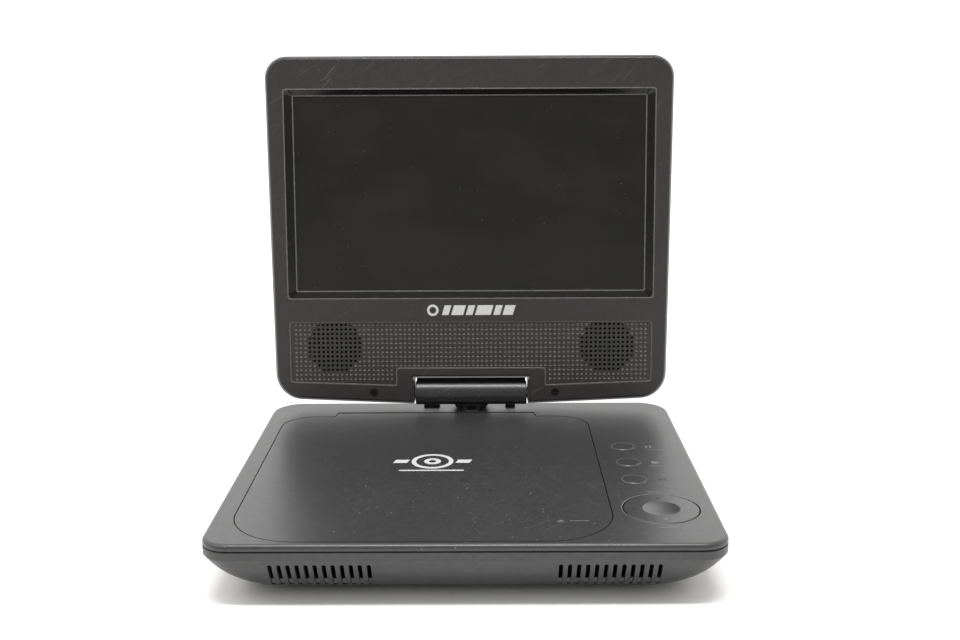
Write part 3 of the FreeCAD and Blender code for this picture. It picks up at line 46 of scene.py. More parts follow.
scene = bpy.context.scene
MM = 0.001

swivel = Vector(joints["screen_swivel"]["pos_m"])
tilt = Vector(joints["screen_tilt"]["pos_m"])
base_top = swivel.z
REST_TILT = math.radians(5.58)

ON_BASE = Matrix.Translation((0, swivel.y, base_top))
FACING = Matrix(((1, 0, 0, 0), (0, 0, -1, 0), (0, 1, 0, 0), (0, 0, 0, 1)))
LID = Matrix.Translation(tilt) @ Matrix.Rotation(REST_TILT, 4, (-1, 0, 0))


def on_lid(depth):
    """The lid's front, drawn in millimetres across and up, at a depth in front of the tilt axis."""
    return LID @ Matrix.Translation((0, -depth * MM, 0)) @ FACING


# ---------------------------------------------------------------- materials
class Nodes:
    """A small helper for building a shader tree."""

    def __init__(self, name):
        self.material = bpy.data.materials.new(name)
        self.material.use_nodes = True
        self.tree = self.material.node_tree
        self.shader = self.tree.nodes["Principled BSDF"]
        self.place = self.add("ShaderNodeTexCoord").outputs["Object"]

    def add(self, kind, **values):
        node = self.tree.nodes.new(kind)
        for key, value in values.items():
            if hasattr(node, key):
                setattr(node, key, value)
            else:
                node.inputs[key.replace("_", " ")].default_value = value
        return node

    def link(self, a, b):
        self.tree.links.new(a, b)

    def noise(self, scale, detail=4.0, rough=0.55, stretch=None):
        """Noise over the object's own place, in features per metre."""
        place = self.place
        if stretch:
            mapping = self.add("ShaderNodeMapping")
            mapping.inputs["Scale"].default_value = stretch
            self.link(place, mapping.inputs["Vector"])
            place = mapping.outputs["Vector"]
        node = self.add("ShaderNodeTexNoise", Scale=scale, Detail=detail, Roughness=rough)
        self.link(place, node.inputs["Vector"])
        return node.outputs["Fac"]

    def ramp(self, source, low, high, to_low=0.0, to_high=1.0):
        node = self.add("ShaderNodeMapRange")
        node.inputs["From Min"].default_value = low
        node.inputs["From Max"].default_value = high
        node.inputs["To Min"].default_value = to_low
        node.inputs["To Max"].default_value = to_high
        self.link(source, node.inputs["Value"])
        return node.outputs["Result"]

    def math(self, kind, a, b):
        node = self.add("ShaderNodeMath", operation=kind)
        for i, value in enumerate((a, b)):
            if isinstance(value, (int, float)):
                node.inputs[i].default_value = value
            else:
                self.link(value, node.inputs[i])
        return node.outputs[0]

    def mix(self, amount, a, b):
        """A colour between a and b; each is a colour or a socket."""
        node = self.add("ShaderNodeMix", data_type="RGBA")
        self.link(amount, node.inputs[0])
        for socket, value in ((node.inputs[6], a), (node.inputs[7], b)):
            if isinstance(value, (tuple, list)):
                socket.default_value = (*value[:3], 1)
            else:
                self.link(value, socket)
        return node.outputs[2]

    def scratches(self, across, turn, share=0.66):
        """Fine straight hairlines running one way, in a few patches."""
        mapping = self.add("ShaderNodeMapping", vector_type="TEXTURE")
        mapping.inputs["Rotation"].default_value = turn
        mapping.inputs["Scale"].default_value = (1, 30, 30)
        self.link(self.place, mapping.inputs["Vector"])
        streak = self.add("ShaderNodeTexNoise", Scale=across, Detail=1.0)
        self.link(mapping.outputs["Vector"], streak.inputs["Vector"])
        line = self.ramp(streak.outputs["Fac"], share, share + 0.05)
        patches = self.ramp(self.noise(28, 2), 0.5, 0.66)
        return self.math("MULTIPLY", line, patches)

    def specks(self, scale, size, share):
        """Small dust grains: a dot in some of the cells."""
        cells = self.add("ShaderNodeTexVoronoi", Scale=scale)
        self.link(self.place, cells.inputs["Vector"])
        dot = self.ramp(cells.outputs["Distance"], size * 0.6, size, 1.0, 0.0)
        chosen = self.add("ShaderNodeSeparateColor")
        self.link(cells.outputs["Color"], chosen.inputs["Color"])
        kept = self.ramp(chosen.outputs["Red"], share, share + 0.01, 1.0, 0.0)
        return self.math("MULTIPLY", dot, kept)

    def bump(self, height, strength, distance):
        node = self.add("ShaderNodeBump", Strength=strength, Distance=distance)
        self.link(height, node.inputs["Height"])
        self.link(node.outputs["Normal"], self.shader.inputs["Normal"])


def plastic(name, colour, low, high, grain=5200, grain_depth=0.000012, dust=0.0, worn=0.0, ior=1.5):
    """Moulded plastic: slight mottling, fine grain, hairlines and dust."""
    n = Nodes(name)
    dark = [c * 0.9 for c in colour]
    light = [min(1, c * 1.1) for c in colour]
    tone = n.mix(n.ramp(n.noise(420, 3), 0.35, 0.65), dark, light)
    rough = n.ramp(n.noise(300, 5, 0.6), 0.3, 0.7, low, high)
    fine = n.noise(grain, 2, 0.5)
    height = fine
    if worn:
        lines = n.math("MAXIMUM", n.scratches(1500, (0, 0.7, 0.5)), n.scratches(1300, (0, -0.9, 2.4)))
        rough = n.math("ADD", rough, n.math("MULTIPLY", lines, 0.2 * worn))
        tone = n.mix(n.math("MULTIPLY", lines, 0.4 * worn), tone, (0.16, 0.155, 0.15))
        height = n.math("SUBTRACT", fine, n.math("MULTIPLY", lines, 1.2))
    if dust:
        grains = n.math("MAXIMUM", n.specks(620, 0.17, 0.07), n.specks(260, 0.085, 0.16))
        haze = n.ramp(n.noise(24, 6, 0.7), 0.42, 0.8, 0.0, 0.025 * dust)
        cover = n.math("MAXIMUM", n.math("MULTIPLY", grains, 0.8 * dust), haze)
        tone = n.mix(cover, tone, (0.42, 0.41, 0.39))
        rough = n.math("ADD", rough, n.math("MULTIPLY", cover, 0.4))
    n.link(tone, n.shader.inputs["Base Color"])
    n.link(rough, n.shader.inputs["Roughness"])
    n.shader.inputs["IOR"].default_value = ior
    n.bump(height, 0.5, grain_depth)
    return n.material


def metal(name, colour, low, high, streaks=None, metallic=1.0):
    """Metal with drawn or cast variation in tone and roughness."""
    n = Nodes(name)
    pattern = n.noise(900, 4, 0.6, streaks or (1, 1, 1))
    tone = n.mix(n.ramp(pattern, 0.3, 0.7), [c * 0.8 for c in colour], colour)
    n.link(tone, n.shader.inputs["Base Color"])
    n.link(n.ramp(pattern, 0.3, 0.7, low, high), n.shader.inputs["Roughness"])
    n.shader.inputs["Metallic"].default_value = metallic
    n.bump(pattern, 0.3, 0.00001)
    return n.material


def silver_paint():
    """Pale metallic lacquer with fine flakes, scuffed a little."""
    n = Nodes("silver_paint")
    flakes = n.add("ShaderNodeTexVoronoi", Scale=5200.0)
    n.link(n.place, flakes.inputs["Vector"])
    spread = n.add("ShaderNodeSeparateColor")
    n.link(flakes.outputs["Color"], spread.inputs["Color"])
    tone = n.mix(n.ramp(spread.outputs["Red"], 0, 1), (0.20, 0.206, 0.213), (0.30, 0.307, 0.318))
    lines = n.math("MAXIMUM", n.scratches(1400, (0, 0.4, 0.9)), n.scratches(1200, (0, 1.2, 0.2)))
    tone = n.mix(n.math("MULTIPLY", lines, 0.2), tone, (0.12, 0.12, 0.12))
    n.link(tone, n.shader.inputs["Base Color"])
    rough = n.ramp(n.noise(45, 5), 0.3, 0.7, 0.27, 0.38)
    n.link(n.math("ADD", rough, n.math("MULTIPLY", lines, 0.1)), n.shader.inputs["Roughness"])
    n.shader.inputs["Metallic"].default_value = 0.55
    n.shader.inputs["Coat Weight"].default_value = 0.4
    n.shader.inputs["Coat Roughness"].default_value = 0.15
    n.bump(n.noise(3000, 2), 0.25, 0.000008)
    return n.material


def screen_face():
    """The dark anti-glare face of the display, faintly smeared and dusty."""
    n = Nodes("screen_face")
    smear = n.noise(16, 6, 0.65, (1, 1, 2.2))
    grains = n.math("MAXIMUM", n.specks(520, 0.10, 0.07), n.specks(240, 0.06, 0.10))
    tone = n.mix(n.ramp(smear, 0.35, 0.7), (0.0045, 0.0044, 0.0036), (0.0095, 0.0088, 0.007))
    tone = n.mix(n.math("MULTIPLY", grains, 0.5), tone, (0.30, 0.29, 0.27))
    n.link(tone, n.shader.inputs["Base Color"])
    n.link(n.ramp(smear, 0.3, 0.75, 0.26, 0.36), n.shader.inputs["Roughness"])
    n.shader.inputs["IOR"].default_value = 1.38
    n.bump(n.noise(9000, 2), 0.35, 0.000008)
    return n.material


def printed(name, colour):
    """Silk-screened ink, slightly broken."""
    n = Nodes(name)
    tone = n.mix(n.ramp(n.noise(2600, 3), 0.35, 0.75), colour, [c * 0.7 for c in colour])
    n.link(tone, n.shader.inputs["Base Color"])
    n.link(n.ramp(n.noise(1500, 3), 0.3, 0.7, 0.35, 0.55), n.shader.inputs["Roughness"])
    return n.material


def board(name):
    """A circuit board: solder mask over traces."""
    n = Nodes(name)
    traces = n.add("ShaderNodeTexVoronoi", feature="DISTANCE_TO_EDGE", Scale=420.0)
    n.link(n.place, traces.inputs["Vector"])
    line = n.ramp(traces.outputs["Distance"], 0.04, 0.07, 1.0, 0.0)
    tone = n.mix(line, (0.012, 0.075, 0.03), (0.05, 0.17, 0.07))
    n.link(tone, n.shader.inputs["Base Color"])
    n.link(n.ramp(n.noise(300), 0.3, 0.7, 0.3, 0.45), n.shader.inputs["Roughness"])
    n.bump(line, 0.4, 0.00004)
    return n.material


def rubber(name):
    """Soft black rubber with a fine matt grain."""
    n = Nodes(name)
    tone = n.mix(n.ramp(n.noise(500), 0.3, 0.7), (0.012, 0.012, 0.012), (0.035, 0.034, 0.033))
    n.link(tone, n.shader.inputs["Base Color"])
    n.link(n.ramp(n.noise(900), 0.3, 0.7, 0.7, 0.9), n.shader.inputs["Roughness"])
    n.bump(n.noise(3500, 3), 0.6, 0.00003)
    return n.material


def paper(name):
    """Pressed speaker-cone paper."""
    n = Nodes(name)
    fibres = n.noise(2400, 5, 0.7, (1, 1, 3))
    tone = n.mix(n.ramp(fibres, 0.3, 0.7), (0.01, 0.01, 0.01), (0.03, 0.03, 0.03))
    n.link(tone, n.shader.inputs["Base Color"])
    n.link(n.ramp(fibres, 0.3, 0.7, 0.8, 0.95), n.shader.inputs["Roughness"])
    n.bump(fibres, 0.7, 0.00005)
    return n.material


def lens(name):
    """A small clear lens with a blue coating."""
    n = Nodes(name)
    tone = n.mix(n.ramp(n.noise(700), 0.3, 0.7), (0.45, 0.5, 0.7), (0.5, 0.56, 0.75))
    n.link(tone, n.shader.inputs["Base Color"])
    n.link(n.ramp(n.noise(400), 0.3, 0.7, 0.02, 0.06), n.shader.inputs["Roughness"])
    n.shader.inputs["Transmission Weight"].default_value = 0.7
    n.shader.inputs["IOR"].default_value = 1.5
    return n.material


SHELL = (0.030, 0.0292, 0.0296)
looks = {
    "cover": plastic("cover_plastic", SHELL, 0.33, 0.37, dust=0.55, worn=0.25, ior=1.58),
    "bezel": plastic("bezel_plastic", (0.0190, 0.0172, 0.0168), 0.36, 0.41, dust=0.15, worn=0.7),
    "hull": plastic("hull_plastic", (0.042, 0.041, 0.0415), 0.38, 0.44, dust=0.15, worn=0.3),
    "barrel": plastic("barrel_plastic", (0.022, 0.021, 0.021), 0.27, 0.31, dust=0.35, worn=0.25),
    "grille": plastic("grille_plastic", (0.0175, 0.0162, 0.0158), 0.30, 0.36, dust=0.1, worn=0.2),
    "inside": plastic("inside_plastic", (0.014, 0.014, 0.014), 0.45, 0.6, 2600, 0.00003, dust=0.2),
    "cap": plastic("cap_plastic", (0.030, 0.029, 0.0295), 0.30, 0.34, dust=0.3, worn=0.3, ior=1.58),
    "trim": plastic("trim_plastic", (0.10, 0.10, 0.101), 0.25, 0.33, dust=0.1),
    # A light grey for the lower half of each grille dimple: a painted highlight where light catches the
    # lip.
    "dimple": plastic("dimple_painted_highlight", (0.16, 0.155, 0.15), 0.35, 0.45),
    "gloss": plastic("gloss_plastic", (0.0035, 0.003, 0.003), 0.10, 0.16, dust=0.1, worn=0.1, ior=1.4),
    # Near-black painted shade: the upper halves of the grille dimples and the seam chamfer under the top
    # cover.
    "painted_shade": plastic("painted_shade_plastic", (0.004, 0.0035, 0.0038), 0.6, 0.7),
    # A lighter grey for the thin lips round the grille, window and recess: painted highlights standing
    # for light on their edges.
    "lip": plastic("lip_painted_highlight", (0.095, 0.09, 0.088), 0.22, 0.3, dust=0.1),
    "chip": plastic("chip_plastic", (0.02, 0.02, 0.02), 0.5, 0.65, 4000),
    "wrap": plastic("wrap_plastic", (0.02, 0.08, 0.26), 0.25, 0.4, 1500),
    "silver": silver_paint(),
    "screen": screen_face(),
    "steel": metal("steel", (0.55, 0.55, 0.54), 0.2, 0.35, (1, 12, 1)),
    "black_steel": metal("black_steel", (0.035, 0.034, 0.033), 0.35, 0.5),
    "zinc": metal("zinc", (0.5, 0.51, 0.5), 0.3, 0.5),
    "cast": metal("cast", (0.34, 0.34, 0.35), 0.45, 0.6),
    "tin": metal("tin", (0.45, 0.45, 0.43), 0.3, 0.45),
    "rubber": rubber("foot_rubber"),
    "paper": paper("cone_paper"),
    "board": board("circuit_board"),
    "lens": lens("clear_lens"),
    "ink": printed("white_ink", (0.62, 0.62, 0.62)),
    "dim_ink": printed("dim_ink", (0.15, 0.15, 0.15)),
    "dark_ink": printed("dark_ink", (0.006, 0.006, 0.006)),
}
nodes_by_look = {
    "cover": "base_top_cover disc_door",
    "hull": "base_bottom_case",
    "barrel": "hinge_barrel",
    "bezel": "screen_bezel",
    "grille": "speaker_grille",
    "silver": "screen_back_cover",
    "rubber": "rubber_feet damper_grommets",
    "steel": (
        "case_screws sled_guide_rods spindle_motor lead_screw power_switch_body swivel_post "
        "swivel_washer tilt_pins speaker_magnets tilt_brackets door_hinge_pins"
    ),
    "black_steel": "bezel_screws",
    "zinc": "loader_chassis",
    "cast": "pickup_sled",
    "lens": "objective_lens",
    "board": "main_board key_board lcd_driver_board",
    "chip": (
        "board_components tact_switches headphone_jacks av_jack dc_jack volume_control "
        "driver_components"
    ),
    "wrap": "battery_cells",
    "trim": "key_rings",
    "cap": "key_1 key_2 key_3 nav_pad",
    "screen": "display_glass",
    "tin": "lcd_module speaker_frames",
    "paper": "speaker_cones",
}
node_looks = {node: look for look, names in nodes_by_look.items() for node in names.split()}
for name, node in nodes.items():
    node.data.materials.clear()
    node.data.materials.append(looks[node_looks.get(name, "inside")])


def paint_faces(node, look, wanted):
    """Gives a second look to the faces of a CAD node for which wanted(centre, normal) is true."""
    mesh = nodes[node].data
    mesh.materials.append(looks[look])
    for face in mesh.polygons:
        if wanted(face.center, face.normal):
            face.material_index = 1


TO_LID = LID.inverted()
NOTCH_HALF = 25.7
RECESS_HALF, RECESS_LOW, RECESS_HIGH = 81.75, 43.85, 136.45
COVER_DEEP, SEAM_DEEP = 2.2, 0.71


def in_notch(centre, normal):
    """The side walls of the hinge notch, low in the lid."""
    place = TO_LID @ centre / MM
    return abs(place.x) < NOTCH_HALF + 0.2 and place.z < 7.4 and abs(normal.x) > 0.7


def in_recess(centre, normal):
    """The floor and walls of the recess round the display."""
    place = TO_LID @ centre / MM
    inside = abs(place.x) < RECESS_HALF - 0.05 and RECESS_LOW + 0.05 < place.z < RECESS_HIGH - 0.05
    return inside and -7.1 < place.y < -5.0


def in_seam(centre, normal):
    """The chamfer under the top cover, where the two halves of the base meet; its upward faces are
    painted near-black as painted shade for the gap.
    """
    below_cover = (base_top - centre.z) / MM - COVER_DEEP
    return 0.01 < below_cover < SEAM_DEEP + 0.01 and 0.4 < normal.z < 0.95


paint_faces("screen_back_cover", "bezel", in_notch)
paint_faces("screen_bezel", "gloss", in_recess)
# The seam chamfer gets near-black painted shade, standing for the shade in the gap between the shells.
paint_faces("base_bottom_case", "painted_shade", in_seam)


# ---------------------------------------------------------------- shapes
def rounded(corners, steps=5):
    """A closed outline in millimetres from (x, y, radius) corners."""
    points = []
    count = len(corners)
    for i, (x, y, radius) in enumerate(corners):
        here = Vector((x, y))
        before = (Vector(corners[i - 1][:2]) - here).normalized()
        after = (Vector(corners[(i + 1) % count][:2]) - here).normalized()
        half = before.angle(after) / 2
        if radius <= 0:
            points.append(here)
            continue
        middle = (before + after).normalized()
        centre = here + middle * (radius / math.sin(half))
        start = here + before * (radius / math.tan(half)) - centre
        end = here + after * (radius / math.tan(half)) - centre
        swing = start.angle_signed(end)
        for k in range(steps + 1):
            turned = start.copy()
            turned.rotate(Matrix.Rotation(-swing * k / steps, 2))
            points.append(centre + turned)
    return points


def ring(x, y, radius, steps=24):
    """A circle's outline."""
    turns = [2 * math.pi * k / steps for k in range(steps)]
    return [Vector((x + radius * math.cos(turn), y + radius * math.sin(turn))) for turn in turns]


def block(left, right, low, high, radius=0.0, steps=4):
    """A rectangle's outline, its corners rounded."""
    corners = [(left, low, radius), (right, low, radius), (right, high, radius), (left, high, radius)]
    return rounded(corners, steps)


def plate(name, outlines, thickness, matrix, look, body, bevel=0.0):
    """A flat piece cut to closed outlines, inner ones being holes, standing on z 0 of its matrix."""
    curve = bpy.data.curves.new(name, "CURVE")
    curve.dimensions = "2D"
    curve.fill_mode = "BOTH"
    curve.extrude = (thickness / 2 - bevel) * MM
    curve.bevel_depth = bevel * MM
    curve.bevel_resolution = 1
    for outline in outlines:
        spline = curve.splines.new("POLY")
        spline.points.add(len(outline) - 1)
        for point, place in zip(spline.points, outline):
            point.co = (place.x * MM, place.y * MM, 0, 1)
        spline.use_cyclic_u = True
    maker = bpy.data.objects.new(name + "_maker", curve)
    scene.collection.objects.link(maker)
    bpy.context.view_layer.update()
    mesh = bpy.data.meshes.new_from_object(maker.evaluated_get(bpy.context.evaluated_depsgraph_get()))
    bpy.data.objects.remove(maker)
    mesh.name = name
    work = bmesh.new()
    work.from_mesh(mesh)
    bmesh.ops.remove_doubles(work, verts=work.verts, dist=1e-6)
    bmesh.ops.recalc_face_normals(work, faces=work.faces)
    work.to_mesh(mesh)
    work.free()
    mesh.transform(matrix @ Matrix.Translation((0, 0, thickness / 2 * MM)))
    return finish_piece(name, mesh, look, body)


def finish_piece(name, mesh, look, body):
    """Puts a mesh in the scene with its look, riding on a body."""
    made = bpy.data.objects.new(name, mesh)
    scene.collection.objects.link(made)
    mesh.materials.clear()
    mesh.materials.append(looks[look])
    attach(made, body)
    return made


def turned(name, profile, steps, matrix, look, body, slot=None):
    """A closed piece turned about z from (radius, height) points in millimetres."""
    work = bmesh.new()
    rows = []
    for k in range(steps):
        angle = 2 * math.pi * k / steps
        across, along = math.cos(angle) * MM, math.sin(angle) * MM
        rows.append([work.verts.new((r * across, r * along, z * MM)) for r, z in profile])
    count = len(profile)
    for k in range(steps):
        here, after = rows[k], rows[(k + 1) % steps]
        for i in range(count):
            j = (i + 1) % count
            work.faces.new((here[i], after[i], after[j], here[j]))
    bmesh.ops.recalc_face_normals(work, faces=work.faces)
    for face in work.faces:
        face.smooth = True
    mesh = bpy.data.meshes.new(name)
    work.to_mesh(mesh)
    work.free()
    mesh.transform(matrix)
    return finish_piece(name, mesh, look, body)


# ---------------------------------------------------------------- speaker grille
GRILLE_HALF, GRILLE_TOP, SIDE_LOW, MID_LOW = 81.4, 33.7, 6.0, 4.3
STEP_HALF, STEP_TOP = 33.2, 12.2
PITCH, HOLE, HOLE_SIDES = 2.04, 0.6, 12
SPEAKER_X, SPEAKER_Z, SPEAKER_RADIUS = 61.2, 22.3, 12.3


def grille_outline(grow):
    """The grille's edge, stepped up in the middle over the hinge, made larger by grow."""
    return rounded(
        [
            (-GRILLE_HALF - grow, GRILLE_TOP + grow, 1.5),
            (-GRILLE_HALF - grow, SIDE_LOW - grow, 1.5),
            (-STEP_HALF + grow, MID_LOW - grow, 1.0),
            (-STEP_HALF + grow, STEP_TOP - grow, 1.0),
            (STEP_HALF - grow, STEP_TOP - grow, 1.0),
            (STEP_HALF - grow, MID_LOW - grow, 1.0),
            (GRILLE_HALF + grow, SIDE_LOW - grow, 1.5),
            (GRILLE_HALF + grow, GRILLE_TOP + grow, 1.5),
        ],
        4,
    )


def grille_holes():
    """Every hole of the square grid, and whether it goes right through."""
    for i in range(40):
        for j in range(13):
            x = PITCH / 2 + i * PITCH
            u = GRILLE_TOP - 1.5 - j * PITCH
            if x > GRILLE_HALF - 0.9:
                continue
            if x < STEP_HALF + 1.1 and u < STEP_TOP + 1.1:
                continue
            if u < MID_LOW + (x - STEP_HALF) * (SIDE_LOW - MID_LOW) / (GRILLE_HALF - STEP_HALF) + 1.0:
                continue
            through = math.hypot(x - SPEAKER_X, u - SPEAKER_Z) < SPEAKER_RADIUS
            for side in (-1, 1):
                yield side * x, u, through


def lid_plate(name, outlines, thickness, depth, look, bevel=0.0):
    """A satin black plate lying in the lid's front."""
    return plate(name, outlines, thickness, on_lid(depth), look, "screen", bevel)


face_holes = [ring(x, u, HOLE, HOLE_SIDES) for x, u, through in grille_holes()]
deep_holes = [ring(x, u, HOLE, HOLE_SIDES) for x, u, through in grille_holes() if through]
front_plate = lid_plate("grille_face", [grille_outline(-0.05)] + face_holes, 0.55, 5.95, "grille")
lid_plate("grille_backing", [grille_outline(0.9)] + deep_holes, 0.72, 5.22, "grille")
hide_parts("speaker_grille")
# A lighter grey lip round the grille: a painted highlight on its rounded edge.
lid_plate("grille_lip", [grille_outline(0.0), grille_outline(-0.42)], 0.5, 6.45, "lip", 0.12)


def pits(name, profile, matrix, look, body):
    """A closed little bowl for every blind hole, from (radius, height) points, its upper half darker as
    painted shade and its lower half lighter as a painted highlight.
    """
    work = bmesh.new()
    for x, u, through in grille_holes():
        if through:
            continue
        rows = [
            [work.verts.new((p.x * MM, p.y * MM, z * MM)) for p in ring(x, u, radius, HOLE_SIDES)]
            for radius, z in profile
        ]
        for above, below in zip(rows, rows[1:]):
            for k in range(HOLE_SIDES):
                j = (k + 1) % HOLE_SIDES
                face = work.faces.new((above[k], above[j], below[j], below[k]))
                # Lower half in the light grey, a painted highlight; upper half in the near-black,
                # painted shade.
                face.material_index = 0 if k >= HOLE_SIDES / 2 else 1
        work.faces.new(rows[0][::-1])
        work.faces.new(rows[-1])
    bmesh.ops.recalc_face_normals(work, faces=work.faces)
    for face in work.faces:
        face.smooth = True
    mesh = bpy.data.meshes.new(name)
    work.to_mesh(mesh)
    work.free()
    mesh.transform(matrix)
    made = finish_piece(name, mesh, look, body)
    # Second slot: the near-black painted shade for the upper half of each bowl.
    mesh.materials.append(looks["painted_shade"])
    return made


BOWL = ((0.3, 0.0), (0.6, 0.0), (0.6, 0.5), (0.56, 0.36), (0.47, 0.22), (0.32, 0.11), (0.14, 0.055))
pits("grille_dimples", BOWL, on_lid(5.95), "dimple", "screen")

# ---------------------------------------------------------------- display surround
def frame_outlines(half, low, high, width, corners):
    """The outer and inner outlines of a thin frame."""
    outer = block(-half, half, low, high, corners[0])
    inner = block(-half + width, half - width, low + width, high - width, corners[1])
    return [outer, inner]


WINDOW_HALF, WINDOW_LOW, WINDOW_HIGH = 78.0, 47.0, 133.8
# Thin lighter frames round the window and the recess: painted highlights on their bevels.
window_frame = frame_outlines(WINDOW_HALF, WINDOW_LOW, WINDOW_HIGH, 0.45, (0.6, 0.4))
lid_plate("window_lip", window_frame, 0.42, 5.22, "lip", 0.1)
recess_frame = frame_outlines(RECESS_HALF, RECESS_LOW, RECESS_HIGH, 0.35, (1.2, 1.0))
lid_plate("recess_lip", recess_frame, 0.3, 6.93, "lip", 0.1)

LINER_IN, LINER_OUT = NOTCH_HALF + 0.01, NOTCH_HALF + 0.8
liners = [block(-LINER_OUT, -LINER_IN, -3.2, 7.2, 0.1), block(LINER_IN, LINER_OUT, -3.2, 7.2, 0.1)]
lid_plate("notch_liners", liners, 0.14, 6.58, "bezel")


BROW_STEPS = 64


def brow(name, half, depth, rise, drop, look, body):
    """A half-oval cover that carries the front of the barrel up to its crest."""
    work = bmesh.new()
    profile = [(0.7, rise), (0.7, -drop)]
    for k in range(BROW_STEPS + 1):
        turn = math.radians(180 * k / BROW_STEPS - 90)
        reach = rise if turn > 0 else drop
        profile.append((-depth * math.cos(turn), reach * math.sin(turn)))
    ends = [
        [work.verts.new((tilt.x + x * MM, tilt.y + y * MM, tilt.z + z * MM)) for y, z in profile]
        for x in (-half, half)
    ]
    for i in range(len(profile)):
        j = (i + 1) % len(profile)
        face = work.faces.new((ends[0][i], ends[0][j], ends[1][j], ends[1][i]))
        face.smooth = 2 <= i < len(profile) - 1
    for end in ends:
        for edge in work.faces.new(end).edges:
            edge.smooth = False
    bmesh.ops.recalc_face_normals(work, faces=work.faces)
    mesh = bpy.data.meshes.new(name)
    work.to_mesh(mesh)
    work.free()
    finish_piece(name, mesh, look, body)


brow("barrel_brow", 24.7, 7.5, 7.15, 5.2, "barrel", "swivel")


# ---------------------------------------------------------------- vents
VENTS_A_SIDE, VENT_FIRST, VENT_PITCH, BLADE_HALF = 12, 32.4, 3.05, 0.7
BLADE = ((-145.0, -15.2), (-142.2, -18.3), (-141.5, -18.3), (-144.2, -15.0), (-144.7, -14.95))


def louvres(name, look, body):
    """A sloping blade low in every front vent."""
    work = bmesh.new()
    for side in (-1, 1):
        for k in range(VENTS_A_SIDE):
            x = side * (VENT_FIRST + VENT_PITCH * k)
            ends = [
                [work.verts.new(((x + dx) * MM, y * MM, z * MM)) for y, z in BLADE]
                for dx in (-BLADE_HALF, BLADE_HALF)
            ]
            for i in range(len(BLADE)):
                j = (i + 1) % len(BLADE)
                work.faces.new((ends[0][i], ends[0][j], ends[1][j], ends[1][i]))
            work.faces.new(ends[0][::-1])
            work.faces.new(ends[1])
    bmesh.ops.recalc_face_normals(work, faces=work.faces)
    mesh = bpy.data.meshes.new(name)
    work.to_mesh(mesh)
    work.free()
    mesh.transform(ON_BASE)
    return finish_piece(name, mesh, look, body)


# The blades are in the lighter trim grey, not the hull's own grey: a painted highlight for the light on
# each slot's lower wall.
louvres("vent_louvres", "trim", "base")

# ---------------------------------------------------------------- marks
LID_FACE, INK = 7.2, 0.03


def mark_top(name, outlines, look="ink", body="base", height=0.0):
    """Ink on the base's top face or on what lies level with it, drawn from above."""
    matrix = ON_BASE @ Matrix.Translation((0, 0, height * MM))
    return plate(name, outlines, INK, matrix, look, body)


def slanted(left, right, low, high):
    """A block that leans to the right."""
    lean = (high - low) * 0.3
    return [Vector(p) for p in ((left, low), (right, low), (right + lean, high), (left + lean, high))]


emblem = [ring(-16.9, 38.8, radius, steps) for radius, steps in ((2.6, 32), (1.5, 24))]
left = -12.9
for width in (3.0, 5.4, 3.0, 7.0, 3.0, 4.6):
    emblem.append(slanted(left, left + width, 36.6, 41.0))
    left += width + 1.15
plate("lid_emblem", emblem, INK, on_lid(LID_FACE), "ink", "screen")

disc_rings = ((8.4, 48), (6.6, 48), (3.4, 32), (1.5, 20))
door_marks = [ring(-14.2, -70.4, radius, steps) for radius, steps in disc_rings]
door_marks += [
    slanted(-30.0, -24.4, -72.2, -68.6),
    slanted(-5.0, 0.6, -72.2, -68.6),
    block(-27.0, -1.4, -81.3, -80.1, 0.55),
]
mark_top("door_emblem", door_marks, "ink", "door")
open_mark = [
    [Vector((32.0, -131.8)), Vector((34.6, -131.8)), Vector((33.3, -130.4))],
    block(32.0, 34.6, -132.6, -132.2, 0.15),
    block(36.4, 43.4, -131.7, -131.2, 0.2),
]
mark_top("door_open_mark", open_mark, "dim_ink", "door")

key_lines = [
    block(73.9, 80.2, -57.9, -57.5, 0.15),
    block(71.3, 80.0, -76.8, -76.4, 0.15),
    block(71.4, 80.0, -95.6, -95.2, 0.15),
]
mark_top("key_lines", key_lines, "dim_ink")
pause_and_stop = [
    block(73.2, 74.0, -55.4, -52.6, 0.1),
    block(74.8, 75.6, -55.4, -52.6, 0.1),
    block(73.2, 75.8, -74.0, -71.4, 0.2),
]
mark_top("key_symbols", pause_and_stop, "dim_ink")
skip = [
    [Vector((73.4, -92.9)), Vector((75.4, -91.5)), Vector((73.4, -90.1))],
    block(75.6, 76.1, -92.9, -90.1, 0.1),
]
mark_top("skip_symbols", skip, "dark_ink")
NAV = Vector((70.2, -120.5))


def arrow(angle, size):
    """A small triangle on the pad's rim, pointing outwards."""
    turn = Matrix.Rotation(angle, 2)
    return [NAV + turn @ Vector(p) for p in ((9.4, -size), (9.4 + size * 1.3, 0), (9.4, size))]


# The right and lower arrows are drawn light and the upper and left ones dark: painted light and shade on
# one kind of mark.
mark_top("nav_arrows_painted_lit", [arrow(0, 1.0), arrow(-math.pi / 2, 1.0)], "dim_ink", "nav_cap", 0.1)
mark_top("nav_arrows_painted_shaded", [arrow(math.pi / 2, 1.0), arrow(math.pi, 1.0)], "dark_ink", "nav_cap", 0.1)
nav_labels = [block(66.6, 73.6, -104.6, -104.1, 0.2), block(67.2, 73.0, -137.6, -137.1, 0.2)]
mark_top("nav_labels", nav_labels, "dim_ink")


# ---------------------------------------------------------------- turned pieces
NAV_LIP = ((14.02, -0.6), (14.02, -0.08), (14.14, 0.03), (14.4, 0.03), (14.46, -0.02), (14.3, -0.6))
ON_NAV = ON_BASE @ Matrix.Translation((NAV.x * MM, NAV.y * MM, 0))
